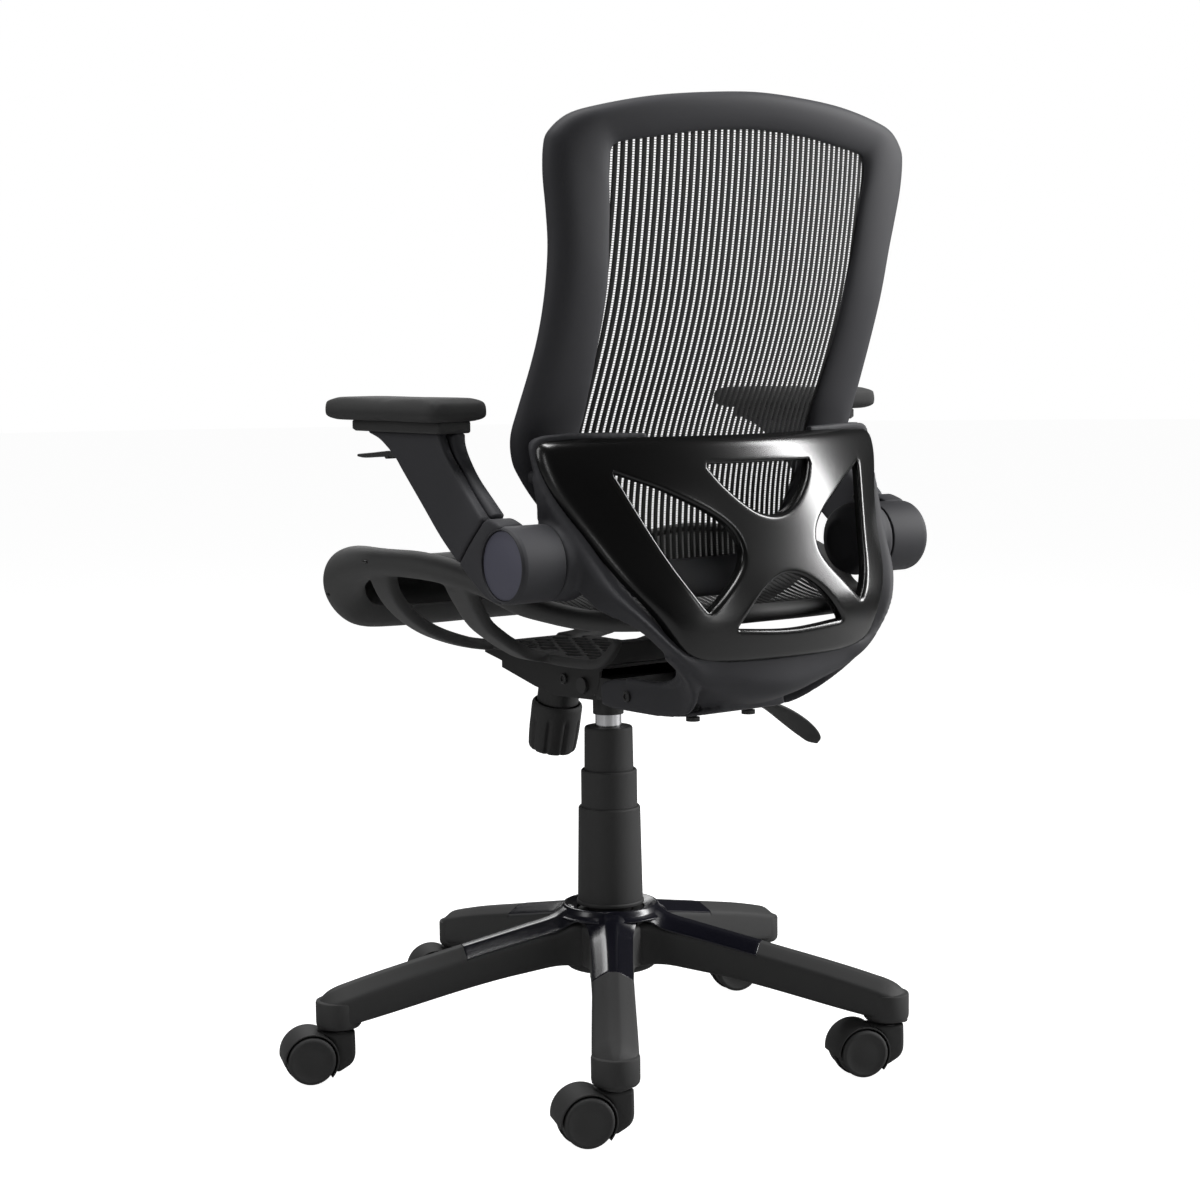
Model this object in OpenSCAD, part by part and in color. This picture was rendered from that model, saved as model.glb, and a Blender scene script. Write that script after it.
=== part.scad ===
// Swivel office chair: five-leg base, gas lift, tilting seat, slung mesh seat and back, flip-up arms.
// Origin on the floor under the column, +Z up, the chair faces -Y.

/* [Base] */
// Distance from the column's axis to the tip of a leg
base_r = 325; // [280:5:400]
// Width of a leg
leg_w = 46; // [38:1:56]
// Radius out to which the gloss trim covers the legs
trim_r = 167; // [120:1:200]
// Thickness of the gloss trim
trim_t = 2; // [1:0.5:3]

/* [Casters] */
// Radius of a caster's wheel
wheel_r = 25; // [20:0.5:31]
// Width of one caster wheel
wheel_w = 20; // [16:0.5:24]
// Radius of a caster's stem
stem_r = 5.5; // [4.5:0.1:7]
// Radius of a caster's axle
axle_r = 4; // [3:0.1:5]
// Distance that the wheels trail behind the stem
trail = 32; // [30:1:40]
// Direction in which the wheels trail, from +X
trail_angle = -21; // [-90:1:90]

/* [Column] */
// Radius of the chromed gas cylinder
gas_r = 14; // [11:0.1:17]
// Radius of the fixed steel tube
tube_r = 23; // [21:0.5:23.5]
// Wall of the fixed steel tube
tube_wall = 2.5; // [2:0.1:3]
// Radius of the piston rod
rod_r = 5; // [4:0.1:6]
// Height of the column from the hub to the tilt housing
column_h = 206; // [200:1:220]

/* [Seat and back] */
// Width of the seat
seat_w = 490; // [400:5:590]
// Height of the backrest above its fixings
back_h = 330; // [270:5:400]
// Thickness of the mesh
mesh_t = 1.2; // [0.8:0.1:2]
// Wall of the gloss lumbar cover
cover_t = 4; // [3:0.5:6]
// Thickness of the bracket's walls
bracket_t = 5; // [4:0.5:7]

/* [Tilt] */
// Radius of the tilt pivot's pin
pivot_r = 6; // [4:0.1:7.5]
// Thickness of the seat pan's steel
pan_t = 3; // [2:0.5:4]
// Radius of the tension knob
knob_r = 28; // [22:0.5:33]

/* [Arms] */
// Radius of the arm's hub
hub_r = 37; // [30:0.5:44]
// Radius of the spigot that the hub turns on
spigot_r = 12; // [9:0.5:16]
// Length of an arm pad
pad_l = 215; // [180:1:260]
// Width of an arm pad
pad_w = 72; // [50:1:90]
// Thickness of an arm pad
pad_h = 22; // [16:1:30]

/* [Hidden] */
$fn = 48;
running = 0.05; // radial clearance of a shaft that turns or slides
air = 0.4; // gap between faces that move past each other
over = 1; // how far a cutter runs past the face it cuts

// Levels of the base, from the floor up
caster_gap = 4;
leg_z = 2 * wheel_r + caster_gap;
hub_top = leg_z + 107;
ring_r = 51.7;
leg_end_r = leg_w / 2 + 0.8;
stem_x = base_r - leg_end_r;
leg_angles = [for (k = [0:4]) 270 + 72 * k];

// The upper chair is drawn for a tilt housing that starts at this height and is then moved to mech_z
mech_ref = 367;
mech_z = hub_top + column_h;
up_dz = mech_z - mech_ref;
// Widths of the seat, back and arms follow the seat's width
kx = seat_w / 490;
// Heights of the back above its fixings follow the back's height
back_fix_z = 670;
function back_z(z) = z < back_fix_z ? z : back_fix_z + (z - back_fix_z) * back_h / 330;

// Column
guide_h = 65;
tube_top = 284;
gas_bottom = 165;
gas_wall = 2.5;
gas_top = 388;
cover_wall = 1.6;

// Tilt pivot and tension knob
pivot = [0, 38, 407];
pan_half = 60;
house_half = 54;
house_wall = 4;
knob_at = [0, -98, 350];
knob_lean = 13;
knob_hub_r = 23;

// Arms: hub axis, slide direction and outer face
arm_y = 183.4;
arm_z = 517.6 + hub_r;
hub_in = max(0, hub_r - 37) * 0.6;
hub_x0 = 209.8 * kx;
hub_x1 = hub_x0 + 49.5;
slide_y = -0.735;
slide_z = 0.678;
post_x0 = hub_x1 - 28;
tongue_x0 = hub_x1 - 20;
tongue_t = 10;
pad_x = hub_x1 - 10.5;
pad_x0 = hub_x1 - 40.5;

// ---------- shape helpers ----------

// Point on a smooth curve through the points p, with t running from 0 to len(p) - 1
function pass_curve(p, t) =
    let (n = len(p) - 1, i = min(floor(t), n - 1), u = t - i,
         a = p[max(i - 1, 0)], b = p[i], c = p[i + 1], d = p[min(i + 2, n)])
    0.5 * (2 * b + (c - a) * u + (2 * a - 5 * b + 4 * c - d) * u * u + (3 * b - a - 3 * c + d) * u * u * u);

// n + 1 points spread along the smooth curve through p
function spread(p, n) = [for (i = [0:n]) pass_curve(p, i * (len(p) - 1) / n)];

// Closed body through rings of points; the last ring joins the first when loop is true
module skin(rings, loop = false) {
    n = len(rings);
    m = len(rings[0]);
    sides = [for (i = [0:(loop ? n - 1 : n - 2)], j = [0:m - 1])
        let (a = i * m + j, b = i * m + (j + 1) % m, i2 = (i + 1) % n, c = i2 * m + (j + 1) % m, d = i2 * m + j)
        each [[a, b, c], [a, c, d]]];
    caps = loop ? [] : [for (j = [1:m - 2]) each [[0, j + 1, j], [(n - 1) * m, (n - 1) * m + j, (n - 1) * m + j + 1]]];
    polyhedron(points = [for (r = rings) each r], faces = concat(sides, caps));
}

// Closed plate between two grids of points of the same size
module plate(f, b) {
    n = len(f);
    m = len(f[0]);
    h = n * m;
    fronts = [for (i = [0:n - 2], j = [0:m - 2])
        let (a = i * m + j) each [[a, a + 1, a + m + 1], [a, a + m + 1, a + m]]];
    backs = [for (t = fronts) [t[2] + h, t[1] + h, t[0] + h]];
    rims = concat(
        [for (j = [0:m - 2]) let (a = j, c = (n - 1) * m + j)
            each [[a + 1, a, a + h], [a + 1, a + h, a + 1 + h], [c, c + 1, c + 1 + h], [c, c + 1 + h, c + h]]],
        [for (i = [0:n - 2]) let (a = i * m, c = i * m + m - 1)
            each [[a, a + m, a + m + h], [a, a + m + h, a + h], [c + m, c, c + h], [c + m, c + h, c + m + h]]]);
    polyhedron(points = [each [for (r = f) each r], each [for (r = b) each r]], faces = concat(fronts, backs, rims));
}

// Ring of n points: an ellipse of half-widths a along u and b along v about c
function oval(c, u, v, a, b, n) = [for (i = [0:n - 1]) c + u * a * cos(i * 360 / n) + v * b * sin(i * 360 / n)];

module tube_z(r_out, r_in, h) {
    difference() {
        cylinder(r = r_out, h = h);
        translate([0, 0, -over]) cylinder(r = r_in, h = h + 2 * over);
    }
}

module along_x(x0, x1, y, z, r) {
    translate([x0, y, z]) rotate([0, 90, 0]) cylinder(r = r, h = x1 - x0);
}

// Solid between x0 and x1 whose outline in the Y-Z plane is p
module side_plate(x0, x1, p) {
    translate([x0, 0, 0]) rotate([90, 0, 90]) linear_extrude(height = x1 - x0) polygon(p);
}

module up() { translate([0, 0, up_dz]) children(); }
module both() { children(); mirror([1, 0, 0]) children(); }

// ---------- base ----------

leg_out = stem_x - 11;
function leg_side(drop) = [
    [28, 44], [28, 101], [54, 101], [61, 97.5 - drop], [trim_r, 74 - drop], [trim_r, 74],
    [leg_out, 45], [base_r - 8, 38], [base_r, 28], [base_r, 0], [leg_out - 12, 0], [leg_out - 12, 8], [104, 42], [60, 47]];

module leg() {
    intersection() {
        rotate([90, 0, 0]) translate([0, 0, -leg_w]) linear_extrude(height = 2 * leg_w) polygon(leg_side(trim_t));
        union() {
            translate([stem_x, 0, -over]) cylinder(r = leg_end_r, h = 120);
            translate([0, -leg_w / 2, -over]) cube([stem_x, leg_w, 120]);
        }
    }
}

module star_base() {
    color("#1b1b1d") translate([0, 0, leg_z]) difference() {
        union() {
            for (a = leg_angles) rotate(a) leg();
            translate([0, 0, 38]) cylinder(r = ring_r - 2, h = 62.5);
        }
        translate([0, 0, 30]) cylinder(r = tube_r, h = 80);
        for (a = leg_angles) rotate(a) translate([stem_x, 0, -over]) cylinder(r = stem_r, h = 22 + over);
    }
}

module base_trim() {
    strip = [[46, 103.4], [46, 104], [54, 103.4], [61, 97.5], [trim_r, 74], [trim_r, 74 - trim_t],
        [61, 97.5 - trim_t], [52, 101 + (3.5 + trim_t) * 2 / 7]];
    color("#050507") translate([0, 0, leg_z]) difference() {
        union() {
            translate([0, 0, 101]) cylinder(r = ring_r, h = 6);
            for (a = leg_angles) rotate(a) translate([0, leg_w / 2, 0]) rotate([90, 0, 0])
                linear_extrude(height = leg_w) polygon(strip);
        }
        translate([0, 0, 90]) cylinder(r = tube_r, h = 30);
    }
}

// ---------- casters ----------

stem_z0 = wheel_r + 11;
hood_top = leg_z - 3;
web_half = 4;
hood_half = web_half + wheel_w - 2;
cavity_r = wheel_r + 1.6;
shell_r = cavity_r + 1.8;
block_r = 15;

module at_caster(k) {
    rotate(leg_angles[k - 1]) translate([stem_x, 0, 0]) rotate(trail_angle - leg_angles[k - 1]) children();
}

module caster_stems() {
    color("silver") for (k = [1:5]) at_caster(k) {
        translate([0, 0, stem_z0]) cylinder(r = stem_r, h = leg_z + 22 - stem_z0);
        translate([0, 0, hood_top + air]) cylinder(r = stem_r + 3.5, h = leg_z - hood_top - air);
    }
}

module caster_hood(k) {
    color("#19191a") at_caster(k) difference() {
        union() {
            translate([trail, 0, wheel_r]) rotate([90, 0, 0]) cylinder(r = shell_r, h = 2 * hood_half, center = true);
            translate([0, 0, 17]) cylinder(r = block_r, h = hood_top - 17);
            translate([0, -block_r, 17]) cube([trail / 2, 2 * block_r, hood_top - 17]);
        }
        for (s = [-1, 1]) {
            translate([trail, s * (web_half + 20), wheel_r]) rotate([90, 0, 0])
                cylinder(r = cavity_r, h = 40, center = true);
            translate([6, s > 0 ? web_half : -web_half - 40, -10]) cube([90, 40, wheel_r + 7]);
        }
        translate([-block_r - over, -40, -10]) cube([90, 80, 18]);
        translate([trail + 12, -40, -10]) cube([90, 80, wheel_r + 7]);
        translate([0, 0, stem_z0 - air]) cylinder(r = stem_r + running, h = 40);
        translate([trail, 0, wheel_r]) rotate([90, 0, 0]) cylinder(r = axle_r, h = 60, center = true);
    }
}

axle_half = web_half + wheel_w - 7;
module caster_axle(k) {
    color("silver") at_caster(k) translate([trail, 0, wheel_r]) rotate([90, 0, 0])
        cylinder(r = axle_r, h = 2 * axle_half, center = true);
}

module caster_wheel(k, s) {
    color("#151515") at_caster(k) translate([trail, s * (web_half + air), wheel_r]) rotate([-90 * s, 0, 0])
        rotate_extrude() polygon([
            [axle_r + running, 0], [wheel_r - 1.5, 0], [wheel_r, 1.5], [wheel_r, wheel_w - 3], [wheel_r - 3, wheel_w],
            [0, wheel_w], [0, wheel_w - 6], [axle_r + running, wheel_w - 6]]);
}

// ---------- column ----------

column_low = leg_z + 24;
module outer_column() {
    color("#202022") translate([0, 0, column_low]) {
        difference() {
            cylinder(r = tube_r, h = tube_top + up_dz - column_low);
            translate([0, 0, 4]) cylinder(r = tube_r - tube_wall, h = 400);
            translate([0, 0, -over]) cylinder(r = rod_r + running, h = 10);
        }
    }
}

module guide_bush() {
    color("ivory") up() translate([0, 0, tube_top - guide_h]) tube_z(tube_r - tube_wall, gas_r + running, guide_h);
}

// Tapered sleeve with an even wall
module sleeve(z, h, r_low, r_high) {
    translate([0, 0, z]) rotate_extrude() polygon([
        [r_low - cover_wall, 0], [r_low, 0], [r_high, h], [r_high - cover_wall, h]]);
}

lower_cover_r = tube_r + 12.3;
module lower_cover() {
    color("#1d1d1f") sleeve(hub_top, 106, lower_cover_r, lower_cover_r - 2);
}

module middle_cover() {
    color("#1d1d1f") up() sleeve(207, 100, lower_cover_r - 4.7, lower_cover_r - 5.2);
}

module upper_cover() {
    color("#1d1d1f") up() {
        sleeve(253, 100, tube_r + 4.2, tube_r + 2.9);
        translate([0, 0, 350]) tube_z(tube_r + 2.9 - cover_wall / 2, gas_r, 3);
    }
}

rod_top = 300;
module piston_rod() {
    color("silver") {
        translate([0, 0, column_low - 6]) cylinder(r = rod_r, h = rod_top + up_dz - column_low + 6);
        up() translate([0, 0, rod_top - 12]) cylinder(r = gas_r - gas_wall - running, h = 12);
        translate([0, 0, column_low - 9]) cylinder(r = rod_r + 4, h = 8.6);
    }
}

module thrust_bearing() {
    color("silver") translate([0, 0, column_low + 4 + air]) tube_z(rod_r + 9, rod_r, 6);
}

module gas_cylinder() {
    color("gainsboro") up() translate([0, 0, gas_bottom]) difference() {
        cylinder(r = gas_r, h = gas_top - gas_bottom);
        translate([0, 0, 8]) cylinder(r = gas_r - gas_wall, h = gas_top - gas_bottom - 18);
        translate([0, 0, -over]) cylinder(r = rod_r + running, h = 10);
        translate([0, 0, gas_top - gas_bottom - 12]) cylinder(r = 4 + running, h = 20);
    }
}

// ---------- tilt housing, knob and lever ----------

lever_pivot = [-46, 0, 393];
pin_r = 4;
pin_top = gas_top + 8;

module release_pin() {
    color("silver") up() translate([0, 0, gas_top - 9]) cylinder(r = pin_r, h = pin_top - gas_top + 9);
}

module tilt_housing() {
    outer = [[-122, 409], [-122, 421], [52, 412], [52, 392], [-20, 389], [-60, 395]];
    inner = [[-116, 413.5], [-116, 416.5], [46, 408], [46, 396], [-18, 393], [-60, 399]];
    boss_r = gas_r + 2.5;
    color("#232325") up() difference() {
        union() {
            difference() {
                side_plate(-house_half, house_half, outer);
                side_plate(-house_half + house_wall, house_half - house_wall, inner);
            }
            translate([0, 0, mech_ref]) cylinder(r = boss_r, h = 28);
            translate(knob_at) rotate([-knob_lean, 0, 0]) translate([0, 0, 20.4]) cylinder(r = knob_hub_r, h = 36);
            along_x(-house_half, -house_half + 22, lever_pivot[1] - 11, lever_pivot[2], 6);
        }
        side_plate(-house_half + house_wall, house_half - house_wall, [[-60, 404], [-60, 412.5], [46, 408], [46, 404]]);
        translate([0, 0, mech_ref - over]) cylinder(r = gas_r, h = gas_top - mech_ref + over);
        translate([0, 0, gas_top - over]) cylinder(r = pin_r + 3, h = 14);
        along_x(-70, 70, pivot[1], pivot[2], pivot_r + running);
        // room for the lever's inner end
        translate([-64, -9, 378]) cube([70, 18, 26]);
        // spring chamber and screw
        translate(knob_at) rotate([-knob_lean, 0, 0]) translate([0, 0, 10]) cylinder(r = 14, h = 40);
    }
}

module tilt_spring() {
    turns = 5;
    coil_r = 10;
    wire_r = 1.8;
    per_turn = 14;
    pitch = 5;
    color("dimgray") up() translate(knob_at) rotate([-knob_lean, 0, 0]) translate([0, 0, 22])
        skin([for (i = [0:turns * per_turn]) let (a = i * 360 / per_turn)
            oval([coil_r * cos(a), coil_r * sin(a), i * pitch / per_turn], [cos(a), sin(a), 0], [0, 0, 1],
                wire_r, wire_r, 6)]);
}

module tension_knob() {
    flute_r = 5;
    flutes = 9;
    color("#1c1c1e") up() translate(knob_at) rotate([-knob_lean, 0, 0]) difference() {
        union() {
            translate([0, 0, -37]) rotate_extrude() polygon([
                [0, 0], [knob_r - 6, 0], [knob_r - 1.5, 6], [knob_r, 14], [knob_r, 54], [knob_r - 1.5, 57],
                [knob_hub_r + 1.5, 57], [knob_hub_r + 1.5, 48], [0, 48]]);
            cylinder(r = pin_r, h = 45);
        }
        for (k = [1:flutes]) rotate(k * 360 / flutes) translate([knob_r + flute_r - 1.2, 0, -40])
            cylinder(r = flute_r, h = 80);
    }
}

module lift_lever() {
    rod = [[-46, 393], [-62, 390], [-150, 371], [-220, 355]];
    blade = [[-214, 356, 7], [-235, 349, 12], [-262, 333, 16], [-285, 314, 15], [-297, 303, 8]];
    color("#1c1c1e") up() {
        translate([lever_pivot[0], 0, lever_pivot[2]]) rotate([90, 0, 0]) cylinder(r = 6, h = 14, center = true);
        translate([-44, -5, 396.4]) cube([48, 10, 4]);
        translate([-50, -5, 390]) cube([8, 10, 10]);
        skin([for (p = rod) oval([p[0], 0, p[1]], [0, 1, 0], [0.2, 0, 1], 4.5, 3.5, 10)]);
        skin([for (p = blade) oval([p[0], 0, p[1]], [0, 1, 0], [0.5, 0, 0.85], p[2], 3, 12)]);
    }
}

// ---------- seat ----------

module seat_pan() {
    wall = [[-146, 430], [-146, 424], [-41, 404], [42, 396], [54, 397], [62, 404], [66, 414], [66, 424], [71, 430]];
    color("#242426") up() difference() {
        union() {
            both() side_plate(pan_half - pan_t, pan_half, wall);
            translate([-pan_half, -146, 430 - pan_t]) cube([2 * pan_half, 217, pan_t]);
            // tongue that carries the back bracket
            translate([-pan_half + pan_t, 58, 430 - pan_t]) cube([2 * (pan_half - pan_t), 13, pan_t]);
            both() side_plate(pan_half - pan_t, pan_half - 0.2,
                [[58, 398], [150, 394], [150, 418], [66, 418], [60, 424]]);
        }
        along_x(-80, 80, pivot[1], pivot[2], pivot_r);
        for (x = [-30, 30], y = [-100, 0]) translate([x, y, 420]) cylinder(r = 3, h = 20);
        along_x(-80, 80, 122.5, 405.4, 3);
    }
}

module pivot_pin() {
    color("silver") up() {
        along_x(-pan_half - 1, pan_half + 1, pivot[1], pivot[2], pivot_r);
        along_x(pan_half, pan_half + 3.5, pivot[1], pivot[2], pivot_r + 2.5);
        along_x(-pan_half - 3.5, -pan_half, pivot[1], pivot[2], pivot_r + 2.5);
    }
}

rib_front = [[58, -136, 433], [100, -134, 441], [148, -122, 457], [196, -102, 486], [228, -84, 520]];
rib_rear = [[58, -32, 432.5], [94, -30, 438], [144, 4, 460], [198, 40, 494], [226, 62, 522]];
module rib(p) {
    half_w = 13;
    skin([for (i = [0:12])
        let (c = pass_curve(p, i / 3), d = pass_curve(p, min(i / 3 + 0.1, 4)) - pass_curve(p, max(i / 3 - 0.1, 0)),
             n = [-d[2], 0, d[0]] / norm([d[2], 0, d[0]]))
        oval([c[0] * kx, c[1], c[2]], [0, -1, 0], n, half_w, 4, 10)]);
}

module seat_support() {
    lat_y0 = -146;
    lat_y1 = 71;
    cell = 24;
    color("#2a2a2c") up() {
        both() {
            rib(rib_front);
            rib(rib_rear);
        }
        translate([0, 0, 430]) linear_extrude(height = 5) difference() {
            translate([-pan_half * kx - 6, lat_y0]) square([2 * pan_half * kx + 12, lat_y1 - lat_y0]);
            for (i = [-2:2], j = [0:3]) if (abs(i) + j > 0) translate([i * cell * kx, lat_y0 + 32 + j * 48])
                polygon([[-9, 0], [0, -18], [9, 0], [0, 18]]);
            for (i = [-2:1], j = [0:3]) translate([(i + 0.5) * cell * kx, lat_y0 + 56 + j * 48])
                if (j < 3) polygon([[-9, 0], [0, -18], [9, 0], [0, 18]]);
        }
        side_plate(-pan_half * kx, pan_half * kx, [[69, 430], [71, 430], [102, 458], [99, 461], [68, 435]]);
    }
}

// Plan outline of the seat: a is the way round, from 0 to 360, and in is the distance inside the edge
seat_pts = [[0, -252], [100, -252], [180, -242], [226, -206], [243, -140], [246, -50], [244, 40], [228, 120],
    [206, 165], [178, 215], [130, 246], [70, 255], [0, 255]];
function seat_rail_z(y) = lookup(y, [[-250, 492], [-200, 513], [-150, 530], [-50, 540], [50, 537], [100, 528],
    [150, 509], [185, 501], [255, 495]]);
function seat_half_h(y) = lookup(y, [[-250, 41], [-215, 35], [-160, 25], [-100, 16], [0, 14], [120, 12], [255, 9]]);
function seat_half_w(y) = lookup(y, [[-250, 26], [-200, 24], [-100, 18], [100, 17], [255, 14]]);
function seat_round(n) = let (h = spread(seat_pts, n))
    concat([for (i = [0:n]) h[i]], [for (i = [n - 1:-1:1]) [-h[i][0], h[i][1]]]);

module seat_frame() {
    o = seat_round(24);
    m = len(o);
    color("#232325") up() skin([for (i = [0:m - 1])
        let (p = o[i], d = o[(i + 1) % m] - o[(i + m - 1) % m], n = [d[1], -d[0]] / norm(d),
             a = seat_half_w(p[1]), c = p - n * a)
        oval([c[0] * kx, c[1], seat_rail_z(p[1])], [n[0], n[1], 0], [0, 0, 1], a, seat_half_h(p[1]), 10)], loop = true);
}

// Height of the seat's mesh: slung between the rails, lowest along the middle
function sling_z(x, y) = seat_rail_z(y) + seat_half_h(y) - 8
    - lookup(y, [[-250, 12], [-150, 26], [-50, 34], [80, 34], [150, 20], [230, 6]]) * (1 - pow(x / 228, 2));

module seat_mesh() {
    rows = [for (y = [-214:24:242]) y];
    half = [for (y = rows) lookup(y, [[-214, 150], [-190, 186], [-130, 216], [-50, 222], [40, 222], [120, 206],
        [165, 184], [215, 150], [242, 104]])];
    grid = [for (i = [0:len(rows) - 1]) [for (j = [-8:8])
        let (x = half[i] * j / 8) [x * kx, rows[i], sling_z(x, rows[i])]]];
    color("#111111") up() plate(grid, [for (r = grid) [for (p = r) p - [0, 0, mesh_t]]]);
}

// ---------- back ----------

// Depth of the back's surface at a height, and the amount by which it wraps forward
function back_y(x, z) = lookup(z, [[500, 158], [549, 150], [592, 150], [640, 157], [670, 166], [720, 188], [760, 205],
    [800, 219], [870, 234], [941, 243], [1003, 246]]) - 0.00062 * x * x;

// Centre line of the back frame's band, down one side
back_edge = [[0, 980], [60, 978.5], [118, 971], [158, 961], [182, 944], [190, 915], [186, 875], [182, 820], [180, 760],
    [180, 700], [180, 668], [168, 632], [146, 596], [122, 560], [88, 533], [40, 525], [0, 525]];

function back_round(n) = let (h = spread(back_edge, n))
    concat([for (i = [0:n]) h[i]], [for (i = [n - 1:-1:1]) [-h[i][0], h[i][1]]]);

// Half-width of the frame's band: wide at the sides, narrow along the top and bottom
function band_half(z) = lookup(z, [[520, 20], [540, 21], [596, 28], [640, 32], [672, 33.5], [760, 30], [860, 29],
    [930, 32], [950, 27], [965, 20], [980, 17.5]]);

module back_frame() {
    o = back_round(34);
    m = len(o);
    half_t = 11;
    color("#1e1e20") up() skin([for (i = [0:m - 1])
        let (p = o[i], d = o[(i + 1) % m] - o[(i + m - 1) % m], n = [-d[1], d[0]] / norm(d), a = band_half(p[1]))
        [for (j = [0:11]) let (w = a * cos(j * 30), x = p[0] + n[0] * w, z = p[1] + n[1] * w)
            [x * kx, back_y(x, z) + half_t * sin(j * 30), back_z(z)]]], loop = true);
}

module back_mesh() {
    rows = [542, 560, 590, 620, 660, 700, 740, 780, 820, 860, 900, 932, 950, 964];
    half = [for (z = rows) lookup(z, [[542, 96], [560, 104], [590, 124], [620, 136], [660, 150], [700, 150], [800, 154],
        [900, 162], [932, 163], [950, 152], [964, 120]])];
    grid = [for (i = [0:len(rows) - 1]) [for (j = [-8:8])
        let (x = half[i] * j / 8) [x * kx, back_y(x, rows[i]) - mesh_t / 2, back_z(rows[i])]]];
    color("#0d0d0d") up() plate(grid, [for (r = grid) [for (p = r) p + [0, mesh_t, 0]]]);
}

// Outer surface of the lumbar cover and of the bracket's back
function cover_y(x, z) = lookup(z, [[385, 215], [395, 255], [410, 272], [430, 285], [456, 297], [489, 304.5], [507, 305],
        [570, 285], [640, 259.4], [666, 245.7], [700, 226]])
    - lookup(z, [[430, 0.0009], [507, 0.00095], [570, 0.00115], [640, 0.00134], [666, 0.0014]]) * x * x
    - lookup(z, [[455, 0.000000024], [600, 0.000000014], [665, 0]]) * pow(x, 4);

function cover_half(z) = lookup(z, [[457, 72], [462, 104], [475, 123], [500, 139], [537, 164], [575, 183], [616, 204],
    [645, 213], [664, 210], [671, 198]]);

module lumbar_cover() {
    rows = [457, 462, 475, 490, 507, 524, 540, 557, 575, 595, 616, 632, 648, 664, 671];
    grid = [for (z = rows) [for (j = [-9:9]) let (x = cover_half(z) * j / 9) [x * kx, cover_y(x, z), z]]];
    top = [[0, 594], [20, 598], [36, 609], [53, 626], [66, 644], [-66, 644], [-53, 626], [-36, 609], [-20, 598]];
    side = [[155, 637], [118, 624], [97, 612], [76, 600], [57, 585], [49, 572], [48, 560], [58, 543], [78, 524], [96, 508],
        [118, 544], [141, 601]];
    low = [[66, 489], [53, 506], [37, 523], [18, 534], [0, 538], [-18, 534], [-37, 523], [-53, 506], [-66, 489], [0, 485]];
    color("#030304") up() difference() {
        plate([for (r = grid) [for (p = r) p - [0, cover_t, 0]]], grid);
        for (w = [top, side, [for (p = side) [-p[0], p[1]]], low])
            translate([0, 400, 0]) rotate([90, 0, 0]) linear_extrude(height = 300)
                polygon([for (p = w) [p[0] * kx, p[1]]]);
    }
}

// Edges of the bracket's side: against the cover, along its crease and around the opening at its side
edge_a = [[205, 205, 640], [208, 208, 616], [188, 232, 577], [168, 250, 540], [146, 272, 503], [130, 285, 476],
    [112, 289, 461], [84, 291, 457], [58, 293, 455]];
edge_b = [[222, 176, 642], [214 - hub_in, 198, 620], [200 - hub_in, 224, 574], [184, 246, 536], [160, 268, 500], [137, 278, 471],
    [114, 281, 446], [92, 276, 426], [58, 281, 418]];
edge_c = [[206, 168, 640], [203, 178, 608], [197, 194, 549], [187, 231, 514], [158, 254, 494], [134, 262, 474],
    [106, 258, 448], [80, 240, 416], [57, 235, 394]];

// Rounded web between four points
module web(p) {
    hull() for (q = p) translate([q[0] * kx, q[1], q[2]]) sphere(r = bracket_t / 2, $fn = 8);
}

module bracket_side() {
    n = 9;
    a = spread(edge_a, n);
    b = spread(edge_b, n);
    c = spread(edge_c, n);
    for (i = [0:n - 1]) {
        web([a[i], b[i], a[i + 1], b[i + 1]]);
        web([b[i], c[i], b[i + 1], c[i + 1]]);
    }
}

module back_bracket() {
    floor_half = max(63, 63 * kx);
    floor_p = [[70, 390], [205, 389], [243, 394], [268, 404], [283, 420], [292, 440], [297, 455], [290, 456],
        [284, 440], [275, 424], [261, 410], [240, 400], [205, 395], [70, 396]];
    wall = [[72, 391], [205, 390], [226, 396], [222, 430], [160, 428], [96, 420], [76, 412]];
    color("#202022") up() difference() {
        union() {
            side_plate(-floor_half, floor_half, floor_p);
            both() {
                bracket_side();
                side_plate(pan_half, pan_half + 4, wall);
                along_x(hub_x0 - 16, hub_x0, arm_y, arm_z, hub_r);
                // boss that carries the side of the backrest
                translate([200 * kx, 190, 634]) rotate([90, 0, 0]) cylinder(r = 8, h = 50);
            }
        }
        both() along_x(hub_x0 - 12, hub_x0 + 9, arm_y, arm_z, spigot_r);
        along_x(-90, 90, 122.5, 405.4, 3);
        for (x = [-36, 36]) translate([x * kx, 190, 380]) cylinder(r = 3, h = 30);
    }
}

module arm_pivots() {
    color("silver") up() both() along_x(hub_x0 - 12, hub_x0 + 38, arm_y, arm_z, spigot_r);
}

module seat_bolts() {
    color("dimgray") up() for (x = [-30, 30], y = [-100, 0]) translate([x, y, 0]) {
        translate([0, 0, 423]) cylinder(r = 6, h = 4);
        translate([0, 0, 424]) cylinder(r = 3, h = 10);
    }
}

module bracket_bolts() {
    color("dimgray") up() {
        both() {
            along_x(pan_half - pan_t - 2, pan_half + 6, 122.5, 405.4, 3);
            along_x(pan_half + 4, pan_half + 7.5, 122.5, 405.4, 5.5);
        }
        for (x = [-36, 36]) translate([x * kx, 190, 0]) {
            translate([0, 0, 385.5]) cylinder(r = 7, h = 4);
            translate([0, 0, 386]) cylinder(r = 3, h = 12);
        }
    }
}

// ---------- arms, drawn for the +X side ----------

// Point in the arm's side view: t along the slide from the hub's axis, w across it towards the front
function arm_pt(t, w) = [arm_y + slide_y * t - slide_z * w, arm_z + slide_z * t + slide_y * w];
neck = 52;
post_w0 = -26;
post_w1 = 38;
post_end = 176;
plate_z = 676;

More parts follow.
